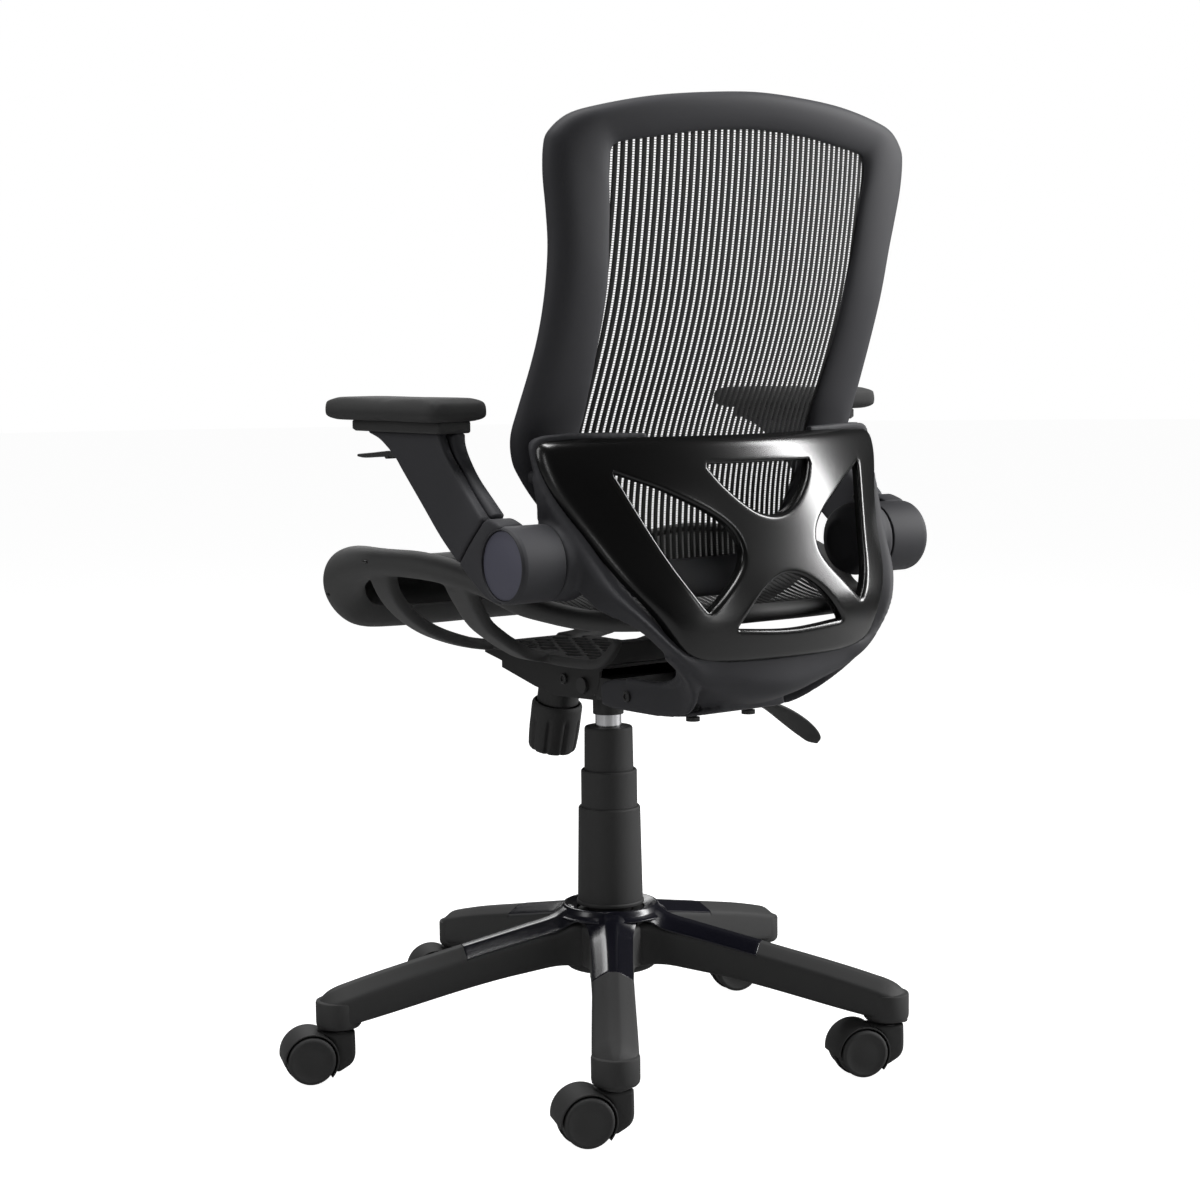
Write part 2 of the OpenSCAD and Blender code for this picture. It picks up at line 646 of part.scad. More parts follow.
module arm_hub() {
    color("#1b1b1d") up() difference() {
        union() {
            along_x(hub_x0 + 0.3, hub_x1, arm_y, arm_z, hub_r);
            side_plate(post_x0, hub_x1, [arm_pt(0, post_w0), arm_pt(neck, post_w0), arm_pt(neck + 14, post_w1 - 12),
                arm_pt(neck + 8, post_w1), arm_pt(0, hub_r * 0.9)]);
            side_plate(tongue_x0, tongue_x0 + tongue_t, [arm_pt(20, -12), arm_pt(neck + 64, -12),
                arm_pt(neck + 64, 12), arm_pt(20, 12)]);
        }
        along_x(hub_x0 - 1, hub_x0 + 40, arm_y, arm_z, spigot_r + running);
        along_x(hub_x1 - 3, hub_x1 + 1, arm_y, arm_z, hub_r - 3.6);
    }
}

module arm_cap() {
    color("#3a3b46") up() along_x(hub_x1 - 3, hub_x1, arm_y, arm_z, hub_r - 4);
}

module arm_post() {
    slot = running;
    color("#1b1b1d") up() difference() {
        side_plate(post_x0, hub_x1, [arm_pt(neck + air, post_w0), arm_pt(neck + 14 + air, post_w1 - 12),
            arm_pt(neck + 8 + air, post_w1), arm_pt(128, post_w1), [-53, plate_z], [75, plate_z]]);
        side_plate(tongue_x0 - slot, tongue_x0 + tongue_t + slot, [arm_pt(neck - 20, -12 - slot),
            arm_pt(neck + 66, -12 - slot), arm_pt(neck + 66, 12 + slot), arm_pt(neck - 20, 12 + slot)]);
        // pocket for the lever's root
        translate([post_x0 + 6, -70, 640]) cube([16, 56, 22]);
    }
}

module arm_plate() {
    color("#151516") up() translate([pad_x, -6, plate_z]) difference() {
        linear_extrude(height = 12) polygon([[-18, -64], [20, -64], [20, 102], [-18, 102]]);
        for (y = [-45, 45]) translate([0, y, -over]) cylinder(r = 3, h = 14);
    }
}

module arm_lever() {
    color("#151516") up() translate([post_x0 + 14, -30, 652]) {
        rotate([0, 90, 0]) cylinder(r = 4, h = 14, center = true);
        translate([-7, -62, -2]) cube([14, 62, 4]);
    }
}

module arm_pad() {
    color("#101010") up() translate([pad_x0 + pad_w / 2, 8.5, plate_z + 12]) difference() {
        hull() for (sx = [-1, 1], sy = [-1, 1], t = [0, 1])
            translate([sx * (pad_w / 2 - 12), sy * (pad_l / 2 - 12), 3 + t * (pad_h - 8)])
                rotate_extrude($fn = 32) polygon([[0, -3], [10, -3], [12, 0], [12, 2], [9, 5], [0, 5]]);
    }
}

// ---------- assembly ----------

star_base();
base_trim();
outer_column();
guide_bush();
lower_cover();
caster_stems();
for (k = [1:5]) {
    caster_hood(k);
    caster_axle(k);
    caster_wheel(k, 1);
    caster_wheel(k, -1);
}
piston_rod();
thrust_bearing();
middle_cover();
gas_cylinder();
upper_cover();
tilt_housing();
tilt_spring();
release_pin();
tension_knob();
lift_lever();
seat_pan();
pivot_pin();
seat_support();
seat_frame();
seat_mesh();
back_bracket();
lumbar_cover();
back_frame();
back_mesh();
seat_bolts();
bracket_bolts();
arm_pivots();
arm_hub();  // arm_hub_left
arm_cap();  // arm_cap_left
arm_post();  // arm_post_left
arm_plate();  // arm_plate_left
arm_lever();  // arm_lever_left
arm_pad();  // arm_pad_left
mirror([1, 0, 0]) arm_hub();  // arm_hub_right
mirror([1, 0, 0]) arm_cap();  // arm_cap_right
mirror([1, 0, 0]) arm_post();  // arm_post_right
mirror([1, 0, 0]) arm_plate();  // arm_plate_right
mirror([1, 0, 0]) arm_lever();  // arm_lever_right
mirror([1, 0, 0]) arm_pad();  // arm_pad_right
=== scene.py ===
"""Looks of a swivel office chair with a mesh seat and back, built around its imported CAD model."""
import math

import bmesh
import bpy
import numpy as np
from bpy.props import FloatProperty, FloatVectorProperty, PointerProperty
from mathutils import Matrix, Vector
from mathutils.geometry import delaunay_2d_cdt


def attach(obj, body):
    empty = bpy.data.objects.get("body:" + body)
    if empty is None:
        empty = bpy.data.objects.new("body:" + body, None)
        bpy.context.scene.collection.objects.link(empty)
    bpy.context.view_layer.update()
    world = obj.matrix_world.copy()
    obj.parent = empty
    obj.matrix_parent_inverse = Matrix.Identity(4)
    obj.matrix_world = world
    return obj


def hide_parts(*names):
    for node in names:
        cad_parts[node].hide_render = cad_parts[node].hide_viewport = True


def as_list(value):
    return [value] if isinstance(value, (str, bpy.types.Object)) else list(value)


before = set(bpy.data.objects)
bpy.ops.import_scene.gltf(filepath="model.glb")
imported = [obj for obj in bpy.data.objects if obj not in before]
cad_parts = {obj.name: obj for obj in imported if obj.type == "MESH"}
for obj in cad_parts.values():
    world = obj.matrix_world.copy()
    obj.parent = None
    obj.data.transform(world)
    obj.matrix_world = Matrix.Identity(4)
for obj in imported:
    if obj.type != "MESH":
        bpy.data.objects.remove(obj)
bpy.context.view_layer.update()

bl_info = {
    "name": "Mesh office chair",
    "version": (1, 0, 0),
    "blender": (4, 5, 0),
    "location": "View3D > Sidebar > Chair",
    "description": "Builds the visible pieces of a swivel office chair around its CAD frame",
    "category": "Object",
}

MM = 0.001
# points nearer than this, in metres, become one
WELD = 0.00001
NO_TRIANGLES = np.zeros((0, 3), int)
SIDES = (("left", 1), ("right", -1))
LEG_ANGLES = [270 + 72 * k for k in range(5)]

# ---------------------------------------------------------------- curves and sections


def spline(points, count, closed=False):
    """count points, evenly spaced by length, on the Catmull-Rom curve through points."""
    p = np.asarray(points, float)
    q = np.vstack([p[-1], p, p[:2]]) if closed else np.vstack([2 * p[0] - p[1], p, 2 * p[-1] - p[-2]])
    pieces = len(q) - 3
    t = np.linspace(0, pieces, pieces * 30 + 1)
    i = np.minimum(t.astype(int), pieces - 1)
    u = (t - i)[:, None]
    a, b, c, d = q[i], q[i + 1], q[i + 2], q[i + 3]
    x = 0.5 * (2 * b + (c - a) * u + (2 * a - 5 * b + 4 * c - d) * u**2 + (3 * b - a - 3 * c + d) * u**3)
    s = np.concatenate([[0], np.cumsum(np.linalg.norm(np.diff(x, axis=0), axis=1))])
    w = np.linspace(0, s[-1], count + 1)[:-1] if closed else np.linspace(0, s[-1], count)
    return np.stack([np.interp(w, s, x[:, k]) for k in range(x.shape[1])], 1)


def curve(pairs, soft=6.0):
    """Smooth function of one value through (at, value) pairs: cubic pieces from pair to pair, straight lines past
    the ends, then a bell-shaped average soft mm wide."""
    x, y = np.array(pairs, float).T
    slope = np.gradient(y, x)
    t = np.linspace(x[0] - 40, x[-1] + 40, 1600)
    i = np.clip(np.searchsorted(x, t) - 1, 0, len(x) - 2)
    h = x[i + 1] - x[i]
    u = np.clip((t - x[i]) / h, 0, 1)
    v = ((2 * u**3 - 3 * u**2 + 1) * y[i] + (u**3 - 2 * u**2 + u) * h * slope[i]
         + (3 * u**2 - 2 * u**3) * y[i + 1] + (u**3 - u**2) * h * slope[i + 1])
    v += np.minimum(t - x[0], 0) * slope[0] + np.maximum(t - x[-1], 0) * slope[-1]
    step = t[1] - t[0]
    reach = max(1, int(3 * soft / step))
    bell = np.exp(-0.5 * (np.arange(-reach, reach + 1) * step / soft) ** 2)
    padded = np.pad(v, reach, mode="reflect", reflect_type="odd")
    v = np.convolve(padded, bell / bell.sum(), mode="valid")
    return lambda at: np.interp(at, t, v)


def loop_of(*runs, step=3.0):
    """Closed outline from smooth runs that meet at corners, sampled every step mm, with the corners eased."""
    parts = []
    for run in runs:
        run = np.asarray(run, float)
        length = np.linalg.norm(np.diff(run, axis=0), axis=1).sum()
        parts.append(spline(run, max(3, int(length / step) + 1))[:-1])
    p = np.vstack(parts)
    for _ in range(2):
        after = np.roll(p, -1, 0)
        p = np.stack([0.75 * p + 0.25 * after, 0.25 * p + 0.75 * after], 1).reshape(-1, 2)
    length = np.linalg.norm(np.roll(p, -1, 0) - p, axis=1).sum()
    s = np.concatenate([[0], np.cumsum(np.linalg.norm(np.roll(p, -1, 0) - p, axis=1))])
    q = np.vstack([p, p[:1]])
    w = np.linspace(0, s[-1], max(8, int(length / step)) + 1)[:-1]
    return np.stack([np.interp(w, s, q[:, k]) for k in range(2)], 1)


def straight_loop(corners, step):
    """Closed outline with straight sides from corner to corner."""
    corners = list(corners)
    return loop_of(*zip(corners, corners[1:] + corners[:1]), step=step)


def reflected(runs):
    """The mirror images of runs across x = 0, in the order that carries the outline on."""
    return [np.array(run, float)[::-1] * (-1, 1) for run in runs[::-1]]


# ---------------------------------------------------------------- surfaces

def outward(surface):
    """The same closed surface with its faces turned outwards, told by the sign of its volume."""
    p, quads, tris = surface
    t = np.vstack([quads[:, [0, 1, 2]], quads[:, [0, 2, 3]], tris]).astype(int)
    volume = (p[t[:, 0]] * np.cross(p[t[:, 1]], p[t[:, 2]])).sum()
    return surface if volume > 0 else (p, quads[:, ::-1], tris[:, ::-1])


def skin(rings, loop=False):
    """Closed surface P(i, j) through rings: i runs along the body, j round it.
    Open ends get a fan to their middle."""
    rings = np.asarray(rings, float)
    n, m, _ = rings.shape
    i = np.arange(n if loop else n - 1)[:, None]
    j = np.arange(m)[None, :]
    k, l = (i + 1) % n, (j + 1) % m
    quads = np.stack([i * m + j, i * m + l, k * m + l, k * m + j], -1).reshape(-1, 4)
    points, tris = rings.reshape(-1, 3), NO_TRIANGLES
    if not loop:
        points = np.vstack([points, rings[0].mean(0), rings[-1].mean(0)])
        r = np.arange(m)
        s = (r + 1) % m
        tris = np.vstack([np.stack([s, r, np.full(m, n * m)], 1),
                          np.stack([r + (n - 1) * m, s + (n - 1) * m, np.full(m, n * m + 1)], 1)])
    return outward((points, quads, tris))


def join(*surfaces):
    """Several surfaces as one."""
    points, quads, tris, base = [], [], [], 0
    for p, q, t in surfaces:
        points.append(p)
        quads.append(q + base)
        tris.append(t + base)
        base += len(p)
    return np.vstack(points), np.vstack(quads), np.vstack(tris)


def moved(surface, turn=None, shift=(0, 0, 0), flip_x=False):
    """The surface turned by a 3x3 matrix, shifted, and mirrored across X where flip_x is set."""
    p, q, t = surface
    if turn is not None:
        p = p @ np.asarray(turn).T
    p = p + np.asarray(shift, float)
    if flip_x:
        p = p * (-1, 1, 1)
        q, t = q[:, ::-1], t[:, ::-1]
    return p, q, t


def both_sides(surface):
    return join(surface, moved(surface, flip_x=True))


def turn_z(degrees):
    return np.array(Matrix.Rotation(math.radians(degrees), 3, "Z"))


def turn_x(degrees):
    return np.array(Matrix.Rotation(math.radians(degrees), 3, "X"))


TO_X = np.array([[0, 0, 1], [0, 1, 0], [-1, 0, 0]], float)


def eased(profile, radius=1.0, steps=3):
    """A closed profile with each corner replaced by a small arc that starts radius mm from it."""
    p = np.asarray(profile, float)
    before, after = np.roll(p, 1, 0) - p, np.roll(p, -1, 0) - p
    lb, la = np.linalg.norm(before, axis=1, keepdims=True), np.linalg.norm(after, axis=1, keepdims=True)
    cut = np.minimum(radius, 0.45 * np.minimum(lb, la))
    a, b = p + before / lb * cut, p + after / la * cut
    u = np.linspace(0, 1, steps + 1)[None, :, None]
    arcs = (1 - u) ** 2 * a[:, None] + 2 * u * (1 - u) * p[:, None] + u**2 * b[:, None]
    return arcs.reshape(-1, 2)


def lathe(profile, around=96, wave=None):
    """Closed profile of (radius, height) turned about Z. wave(angle, height) is subtracted from the radius."""
    p = np.asarray(profile, float)
    a = np.linspace(0, 2 * np.pi, around, endpoint=False)[:, None]
    r, z = p[None, :, 0], np.broadcast_to(p[None, :, 1], (around, len(p)))
    if wave is not None:
        r = r - wave(a, z)
    r = r * np.ones_like(z)
    return skin(np.stack([r * np.cos(a), r * np.sin(a), z], -1), loop=True)


def solid_lathe(profile, around=96, wave=None):
    """Open profile of (radius, height) from the axis and back to it, turned about Z, with both poles closed."""
    p = np.asarray(profile, float)
    a = np.linspace(0, 2 * np.pi, around, endpoint=False)[None, :]
    r, z = p[:, 0:1], np.broadcast_to(p[:, 1:2], (len(p), around))
    if wave is not None:
        r = r - wave(a, z)
    r = r * np.ones_like(z)
    return skin(np.stack([r * np.cos(a), r * np.sin(a), z], -1))


def tube(path, width, height, across, count=None, sides=20, power=2.0):
    """Body along path: each ring is a superellipse |u/width|^power + |v/height|^power = 1.
    u is the part of `across` at right angles to the path, and v is at right angles to both."""
    path = np.asarray(path, float)
    if count:
        extra = [np.asarray(e, float).reshape(len(path), -1) if np.ndim(e) else np.full((len(path), 1), float(e))
                 for e in (width, height)]
        both = spline(np.hstack([path] + extra), count)
        path, width, height = both[:, :3], both[:, 3], both[:, 4]
    along = np.gradient(path, axis=0)
    along /= np.linalg.norm(along, axis=1, keepdims=True)
    u = np.broadcast_to(np.asarray(across, float), path.shape)
    u = u - (u * along).sum(1, keepdims=True) * along
    u = u / np.linalg.norm(u, axis=1, keepdims=True)
    v = np.cross(along, u)
    a = np.linspace(0, 2 * np.pi, sides, endpoint=False)
    cu = np.sign(np.cos(a)) * np.abs(np.cos(a)) ** (2 / power)
    sv = np.sign(np.sin(a)) * np.abs(np.sin(a)) ** (2 / power)
    w, h = np.broadcast_to(width, len(path)), np.broadcast_to(height, len(path))
    rings = (path[:, None] + u[:, None] * (w[:, None] * cu)[..., None] + v[:, None] * (h[:, None] * sv)[..., None])
    return skin(rings)


def distance_to(points, outline):
    """Distance from each point to the closed outline's nearest edge."""
    a, b = outline, np.roll(outline, -1, 0)
    ab = b - a
    best = np.full(len(points), 1e9)
    for start in range(0, len(points), 4000):
        p = points[start:start + 4000, None]
        t = np.clip(((p - a) * ab).sum(-1) / (ab**2).sum(-1), 0, 1)
        best[start:start + 4000] = np.linalg.norm(p - (a + t[..., None] * ab), axis=-1).min(1)
    return best


def inside(points, outline):
    """True where a point lies within the closed outline, by counting crossings."""
    x, y = points[:, 0:1], points[:, 1:2]
    a, b = outline, np.roll(outline, -1, 0)
    cross = (a[:, 1] > y) != (b[:, 1] > y)
    slope = (b[:, 0] - a[:, 0]) / np.where(np.abs(b[:, 1] - a[:, 1]) < 1e-12, 1e-12, b[:, 1] - a[:, 1])
    return ((cross & (x < slope * (y - a[:, 1]) + a[:, 0])).sum(1) % 2) == 1


def pierced(outline, holes, front, back, rings=(0.6, 1.6, 3.0, 5.0, 8.0), spacing=7.0):
    """Closed plate with holes. Points stand on rings that follow each rim and on a grid of `spacing` between.
    front(xy, d_out, d_hole) and back(...) give a point's place from its distances to the outline and the holes."""
    loops = [np.asarray(outline, float)] + [np.asarray(h, float) for h in holes]
    free = []
    for k, p in enumerate(loops):
        ahead = np.roll(p, -1, 0) - np.roll(p, 1, 0)
        side = np.stack([-ahead[:, 1], ahead[:, 0]], 1) / np.linalg.norm(ahead, axis=1, keepdims=True)
        area = (p[:, 0] * np.roll(p[:, 1], -1) - np.roll(p[:, 0], -1) * p[:, 1]).sum()
        side = side * (1 if (area > 0) == (k == 0) else -1)
        free += [np.hstack([p + side * r, np.full((len(p), 1), r)]) for r in rings]
    low, high = loops[0].min(0), loops[0].max(0)
    nx, ny = (np.ceil((high - low) / spacing)).astype(int)
    gx, gy = np.meshgrid(np.linspace(low[0], high[0], nx + 1), np.linspace(low[1], high[1], ny + 1))
    gx = gx + (np.arange(ny + 1) % 2)[:, None] * spacing / 2
    free.append(np.stack([gx.ravel(), gy.ravel(), np.full(gx.size, rings[-1] + spacing * 0.45)], 1))
    free = np.vstack(free)
    rim = np.vstack(loops)
    keep = inside(free[:, :2], loops[0])
    for h in loops[1:]:
        keep &= ~inside(free[:, :2], h)
    free = free[keep]
    near = np.minimum.reduce([distance_to(free[:, :2], p) for p in loops])
    free = free[near > 0.93 * free[:, 2] - 0.02, :2]
    edges, base = [], 0
    for p in loops:
        r = np.arange(len(p))
        edges.append(np.stack([r, (r + 1) % len(p)], 1) + base)
        base += len(p)
    edges = np.vstack(edges)
    given = np.vstack([rim, free])
    out = delaunay_2d_cdt([Vector(v) for v in given.tolist()], edges.tolist(), [], 0, 1e-5, True)
    xy = np.array([tuple(v) for v in out[0]], float)
    place = np.full(len(given), -1)
    for new, olds in enumerate(out[3]):
        for old in olds:
            place[old] = new
    tris = np.array(out[2], int)
    middle = xy[tris].mean(1)
    keep = inside(middle, loops[0])
    for h in loops[1:]:
        keep &= ~inside(middle, h)
    tris = tris[keep]
    d_out = distance_to(xy, loops[0])
    d_hole = np.minimum.reduce([distance_to(xy, h) for h in loops[1:]]) if len(loops) > 1 else np.full(len(xy), 1e3)
    n = len(xy)
    e = place[edges]
    wall = np.stack([e[:, 0], e[:, 1], e[:, 1] + n, e[:, 0] + n], 1)
    # the wall's faces run against the front faces that share their edges
    ways = set(map(tuple, np.vstack([tris[:, [0, 1]], tris[:, [1, 2]], tris[:, [2, 0]]]).tolist()))
    same = np.array([(a, b) in ways for a, b in e.tolist()])
    wall[same] = wall[same][:, ::-1]
    points = np.vstack([front(xy, d_out, d_hole), back(xy, d_out, d_hole)])
    used = np.unique(np.concatenate([tris.ravel(), tris.ravel() + n, wall.ravel()]))
    index = np.full(2 * n, -1)
    index[used] = np.arange(len(used))
    return outward((points[used], index[wall], index[np.vstack([tris, tris[:, ::-1] + n])]))


def roll(d, radius):
    """Drop of a rounded rim at distance d from its edge: a quarter circle of that radius."""
    u = 1 - np.clip(d / radius, 0, 1)
    return radius * (1 - np.sqrt(np.clip(1 - u**2, 0, 1)))


def slab(outline, low, high, axis, rim=2.0, holes=(), spacing=9.0, step=2.5):
    """Plate between two levels along axis 0, 1 or 2, whose outline lies in the other two, with rounded rims."""
    others = [k for k in range(3) if k != axis]
    rim = min(rim, 0.49 * (high - low))

    def at(level, sign):
        def points(xy, d_out, d_hole):
            p = np.zeros((len(xy), 3))
            p[:, others] = xy
            p[:, axis] = level - sign * roll(np.minimum(d_out, d_hole), rim)
            return p
        return points

    rings = tuple(rim * f for f in (0.12, 0.35, 0.65, 1.0))
    return pierced(outline, holes, at(high, 1), at(low, -1), rings=rings, spacing=spacing)


# ---------------------------------------------------------------- objects

def build(name, surface, material, body, replaces=(), sharp=38):
    """Puts a surface, in millimetres, into a mesh object that rides on a CAD body.
    It takes the material of that name, and it stands for the CAD nodes in replaces, which it hides."""
    points, quads, tris = surface
    mesh = bpy.data.meshes.new(name)
    mesh.vertices.add(len(points))
    mesh.vertices.foreach_set("co", (points * MM).astype(np.float32).ravel())
    corners = np.concatenate([quads.ravel(), tris.ravel()]).astype(np.int32)
    sizes = np.concatenate([np.full(len(quads), 4), np.full(len(tris), 3)])
    mesh.loops.add(len(corners))
    mesh.loops.foreach_set("vertex_index", corners)
    mesh.polygons.add(len(sizes))
    mesh.polygons.foreach_set("loop_start", np.concatenate([[0], np.cumsum(sizes)[:-1]]).astype(np.int32))
    mesh.update(calc_edges=True)
    mesh.validate()
    tidy = bmesh.new()
    tidy.from_mesh(mesh)
    bmesh.ops.remove_doubles(tidy, verts=tidy.verts, dist=WELD)
    bmesh.ops.dissolve_degenerate(tidy, edges=tidy.edges, dist=WELD / 2)
    tidy.to_mesh(mesh)
    tidy.free()
    mesh.shade_smooth()
    if sharp:
        mesh.set_sharp_from_angle(angle=math.radians(sharp))
    piece = bpy.data.objects.new(name, mesh)
    bpy.context.scene.collection.objects.link(piece)
    mesh.materials.append(finish(material))
    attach(piece, body)
    if replaces:
        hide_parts(*replaces)
    return piece


def apply_modifiers(piece):
    """Replaces the piece's mesh with its evaluated one."""
    shaped = bpy.data.meshes.new_from_object(piece.evaluated_get(bpy.context.evaluated_depsgraph_get()))
    old = piece.data
    piece.modifiers.clear()
    piece.data = shaped
    bpy.data.meshes.remove(old)
    shaped.shade_smooth()
    return piece


def melted(piece, voxel, rounds):
    """Joins overlapping closed surfaces into one moulded body: a voxel remesh and then some smoothing."""
    remesh = piece.modifiers.new("Remesh", "REMESH")
    remesh.mode = "VOXEL"
    remesh.voxel_size = voxel * MM
    remesh.use_smooth_shade = True
    smooth = piece.modifiers.new("Smooth", "SMOOTH")
    smooth.iterations = rounds
    smooth.factor = 0.5
    return apply_modifiers(piece)


# ---------------------------------------------------------------- finishes

def wire(tree, a, b, out=0, into=0):
    tree.links.new(a.outputs[out], b.inputs[into])
    return b


def add_node(tree, kind, **values):
    node = tree.nodes.new(kind)
    for key, value in values.items():
        if key in node.inputs:
            node.inputs[key].default_value = value
        else:
            setattr(node, key.lower(), value)
    return node


def new_finish(name, colour, rough, metallic=0.0):
    """A Principled material with its colour and roughness on the shader's sockets, and its coordinates."""
    material = bpy.data.materials.new(name)
    material.use_nodes = True
    tree = material.node_tree
    shader = tree.nodes["Principled BSDF"]
    shader.inputs["Base Color"].default_value = (*colour, 1)
    shader.inputs["Roughness"].default_value = rough
    shader.inputs["Metallic"].default_value = metallic
    coords = add_node(tree, "ShaderNodeTexCoord")
    return material, tree, shader, coords


def tint(tree, coords, shader, colour, spread, scale):
    """Base colour that drifts between two near tones in patches 1/scale metres across."""
    patches = add_node(tree, "ShaderNodeTexNoise", Scale=scale, Detail=3.0)
    wire(tree, coords, patches, 3, 0)
    ramp = add_node(tree, "ShaderNodeValToRGB")
    ramp.color_ramp.elements[0].position = 0.32
    ramp.color_ramp.elements[1].position = 0.70
    ramp.color_ramp.elements[0].color = (*[c * (1 - spread) for c in colour], 1)
    ramp.color_ramp.elements[1].color = (*[c * (1 + spread) for c in colour], 1)
    wire(tree, patches, ramp)
    wire(tree, ramp, shader, 0, "Base Color")


def wear(tree, coords, shader, rough, spread, scale):
    """Roughness that drifts by spread about its mean."""
    patches = add_node(tree, "ShaderNodeTexNoise", Scale=scale, Detail=4.0)
    wire(tree, coords, patches, 3, 0)
    span = add_node(tree, "ShaderNodeMapRange")
    span.inputs["From Min"].default_value = 0.3
    span.inputs["From Max"].default_value = 0.7
    span.inputs["To Min"].default_value = rough - spread
    span.inputs["To Max"].default_value = rough + spread
    wire(tree, patches, span)
    wire(tree, span, shader, 0, "Roughness")


def relief(tree, source, shader, strength, depth_mm):
    """The source's first output read as height."""
    bump = add_node(tree, "ShaderNodeBump", Strength=strength, Distance=depth_mm * MM)
    wire(tree, source, bump, 0, "Height")
    wire(tree, bump, shader, 0, "Normal")


def grain(tree, coords, shader, size_mm, depth_mm, strength):
    """Moulded texture: fine noise read as height."""
    noise = add_node(tree, "ShaderNodeTexNoise", Scale=1000 / size_mm, Detail=2.0)
    wire(tree, coords, noise, 3, 0)
    relief(tree, noise, shader, strength, depth_mm)


# name: colour, roughness, roughness spread, grain size in mm, grain depth in mm, metallic, coat
MOULDED = {
    "base_nylon": ((0.0105, 0.0105, 0.0115), 0.40, 0.05, 0.9, 0.020, 0, 0),
    "gloss_trim": ((0.0012, 0.0012, 0.0022), 0.05, 0.02, 14.0, 0.004, 0, 0.6),
    "gloss_cover": ((0.0008, 0.0008, 0.0010), 0.07, 0.02, 18.0, 0.004, 0, 0.5),
    "black_steel": ((0.0120, 0.0120, 0.0125), 0.42, 0.05, 0.8, 0.020, 0, 0),
    "bush": ((0.62, 0.60, 0.54), 0.45, 0.05, 1.5, 0.02, 0, 0),
    "cover_plastic": ((0.0090, 0.0090, 0.0095), 0.46, 0.04, 0.7, 0.022, 0, 0),
    "chrome": ((0.82, 0.82, 0.84), 0.07, 0.02, 6.0, 0.003, 1, 0),
    "steel": ((0.50, 0.50, 0.52), 0.28, 0.06, 1.2, 0.010, 1, 0),
    "caster_plastic": ((0.0085, 0.0085, 0.0090), 0.44, 0.06, 0.7, 0.020, 0, 0),
    "wheel_tread": ((0.0100, 0.0100, 0.0105), 0.52, 0.06, 0.9, 0.025, 0, 0),
    "dark_fasteners": ((0.016, 0.016, 0.017), 0.34, 0.08, 1.0, 0.015, 0.6, 0),
    "knob_plastic": ((0.0100, 0.0100, 0.0105), 0.45, 0.05, 0.7, 0.025, 0, 0),
    "seat_plastic": ((0.0120, 0.0120, 0.0126), 0.52, 0.05, 0.8, 0.040, 0, 0),
    "satin_plastic": ((0.0060, 0.0060, 0.0064), 0.31, 0.04, 0.8, 0.022, 0, 0),
    "cap_metal": ((0.070, 0.072, 0.100), 0.24, 0.03, 5.0, 0.006, 0.85, 0.3),
}


def finish(name):
    """The material of that name, made the first time that it is asked for."""
    if name in bpy.data.materials:
        return bpy.data.materials[name]
    if name == "mesh":
        return mesh_finish(name)
    if name == "pad_skin":
        return skin_finish(name)
    colour, rough, spread, size, depth, metallic, coat = MOULDED[name]
    colours = bpy.context.scene.chair_colours
    if name in ("satin_plastic", "base_nylon"):
        colour = [c * colours.satin_depth for c in colour]
    if name == "cap_metal":
        colour = list(colours.disc)
    material, tree, shader, coords = new_finish(name, colour, rough, metallic)
    tint(tree, coords, shader, colour, 0.14, 26.0)
    wear(tree, coords, shader, rough, spread, 38.0)
    grain(tree, coords, shader, size, depth, 0.6 if depth > 0.012 else 0.3)
    if coat:
        shader.inputs["Coat Weight"].default_value = coat
        shader.inputs["Coat Roughness"].default_value = 0.03
    return material


def mesh_finish(name):
    """Knitted bands: fine ribs along and across the cloth as height and tone, from the piece's own UV map in mm."""
    colour = list(bpy.context.scene.chair_colours.cloth)
    material, tree, shader, coords = new_finish(name, colour, 0.62)
    tint(tree, coords, shader, colour, 0.22, 60.0)
    across = add_node(tree, "ShaderNodeTexWave", Scale=0.52)
    along = add_node(tree, "ShaderNodeTexWave", Scale=0.42)
    across.bands_direction, along.bands_direction = "X", "Y"
    wire(tree, coords, across, 2, 0)
    wire(tree, coords, along, 2, 0)
    both = add_node(tree, "ShaderNodeMath", operation="ADD")
    wire(tree, across, both, 1, 0)
    wire(tree, along, both, 1, 1)
    relief(tree, both, shader, 0.8, 0.25)
    shader.inputs["Sheen Weight"].default_value = 0.25
    shader.inputs["Sheen Roughness"].default_value = 0.4
    return material


def skin_finish(name):
    """Soft polyurethane: leather-like cells from a Voronoi pattern with fine noise over them."""
    colour = (0.0140, 0.0140, 0.0145)
    material, tree, shader, coords = new_finish(name, colour, 0.5)
    tint(tree, coords, shader, colour, 0.18, 40.0)
    wear(tree, coords, shader, 0.50, 0.06, 60.0)
    cells = add_node(tree, "ShaderNodeTexVoronoi", Scale=650.0)
    noise = add_node(tree, "ShaderNodeTexNoise", Scale=1600.0, Detail=2.0)
    wire(tree, coords, cells, 3, 0)
    wire(tree, coords, noise, 3, 0)
    both = add_node(tree, "ShaderNodeMath", operation="ADD")
    wire(tree, cells, both, 0, 0)
    wire(tree, noise, both, 0, 1)
    relief(tree, both, shader, 0.5, 0.12)
    return material


def paint(material, *nodes):
    """Gives CAD nodes that stay as they are a finish."""
    for name in nodes:
        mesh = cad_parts[name].data
        mesh.materials.clear()
        mesh.materials.append(finish(material))


# ---------------------------------------------------------------- base and casters

STEM_R = 301.2
TRIM_END = 167.0
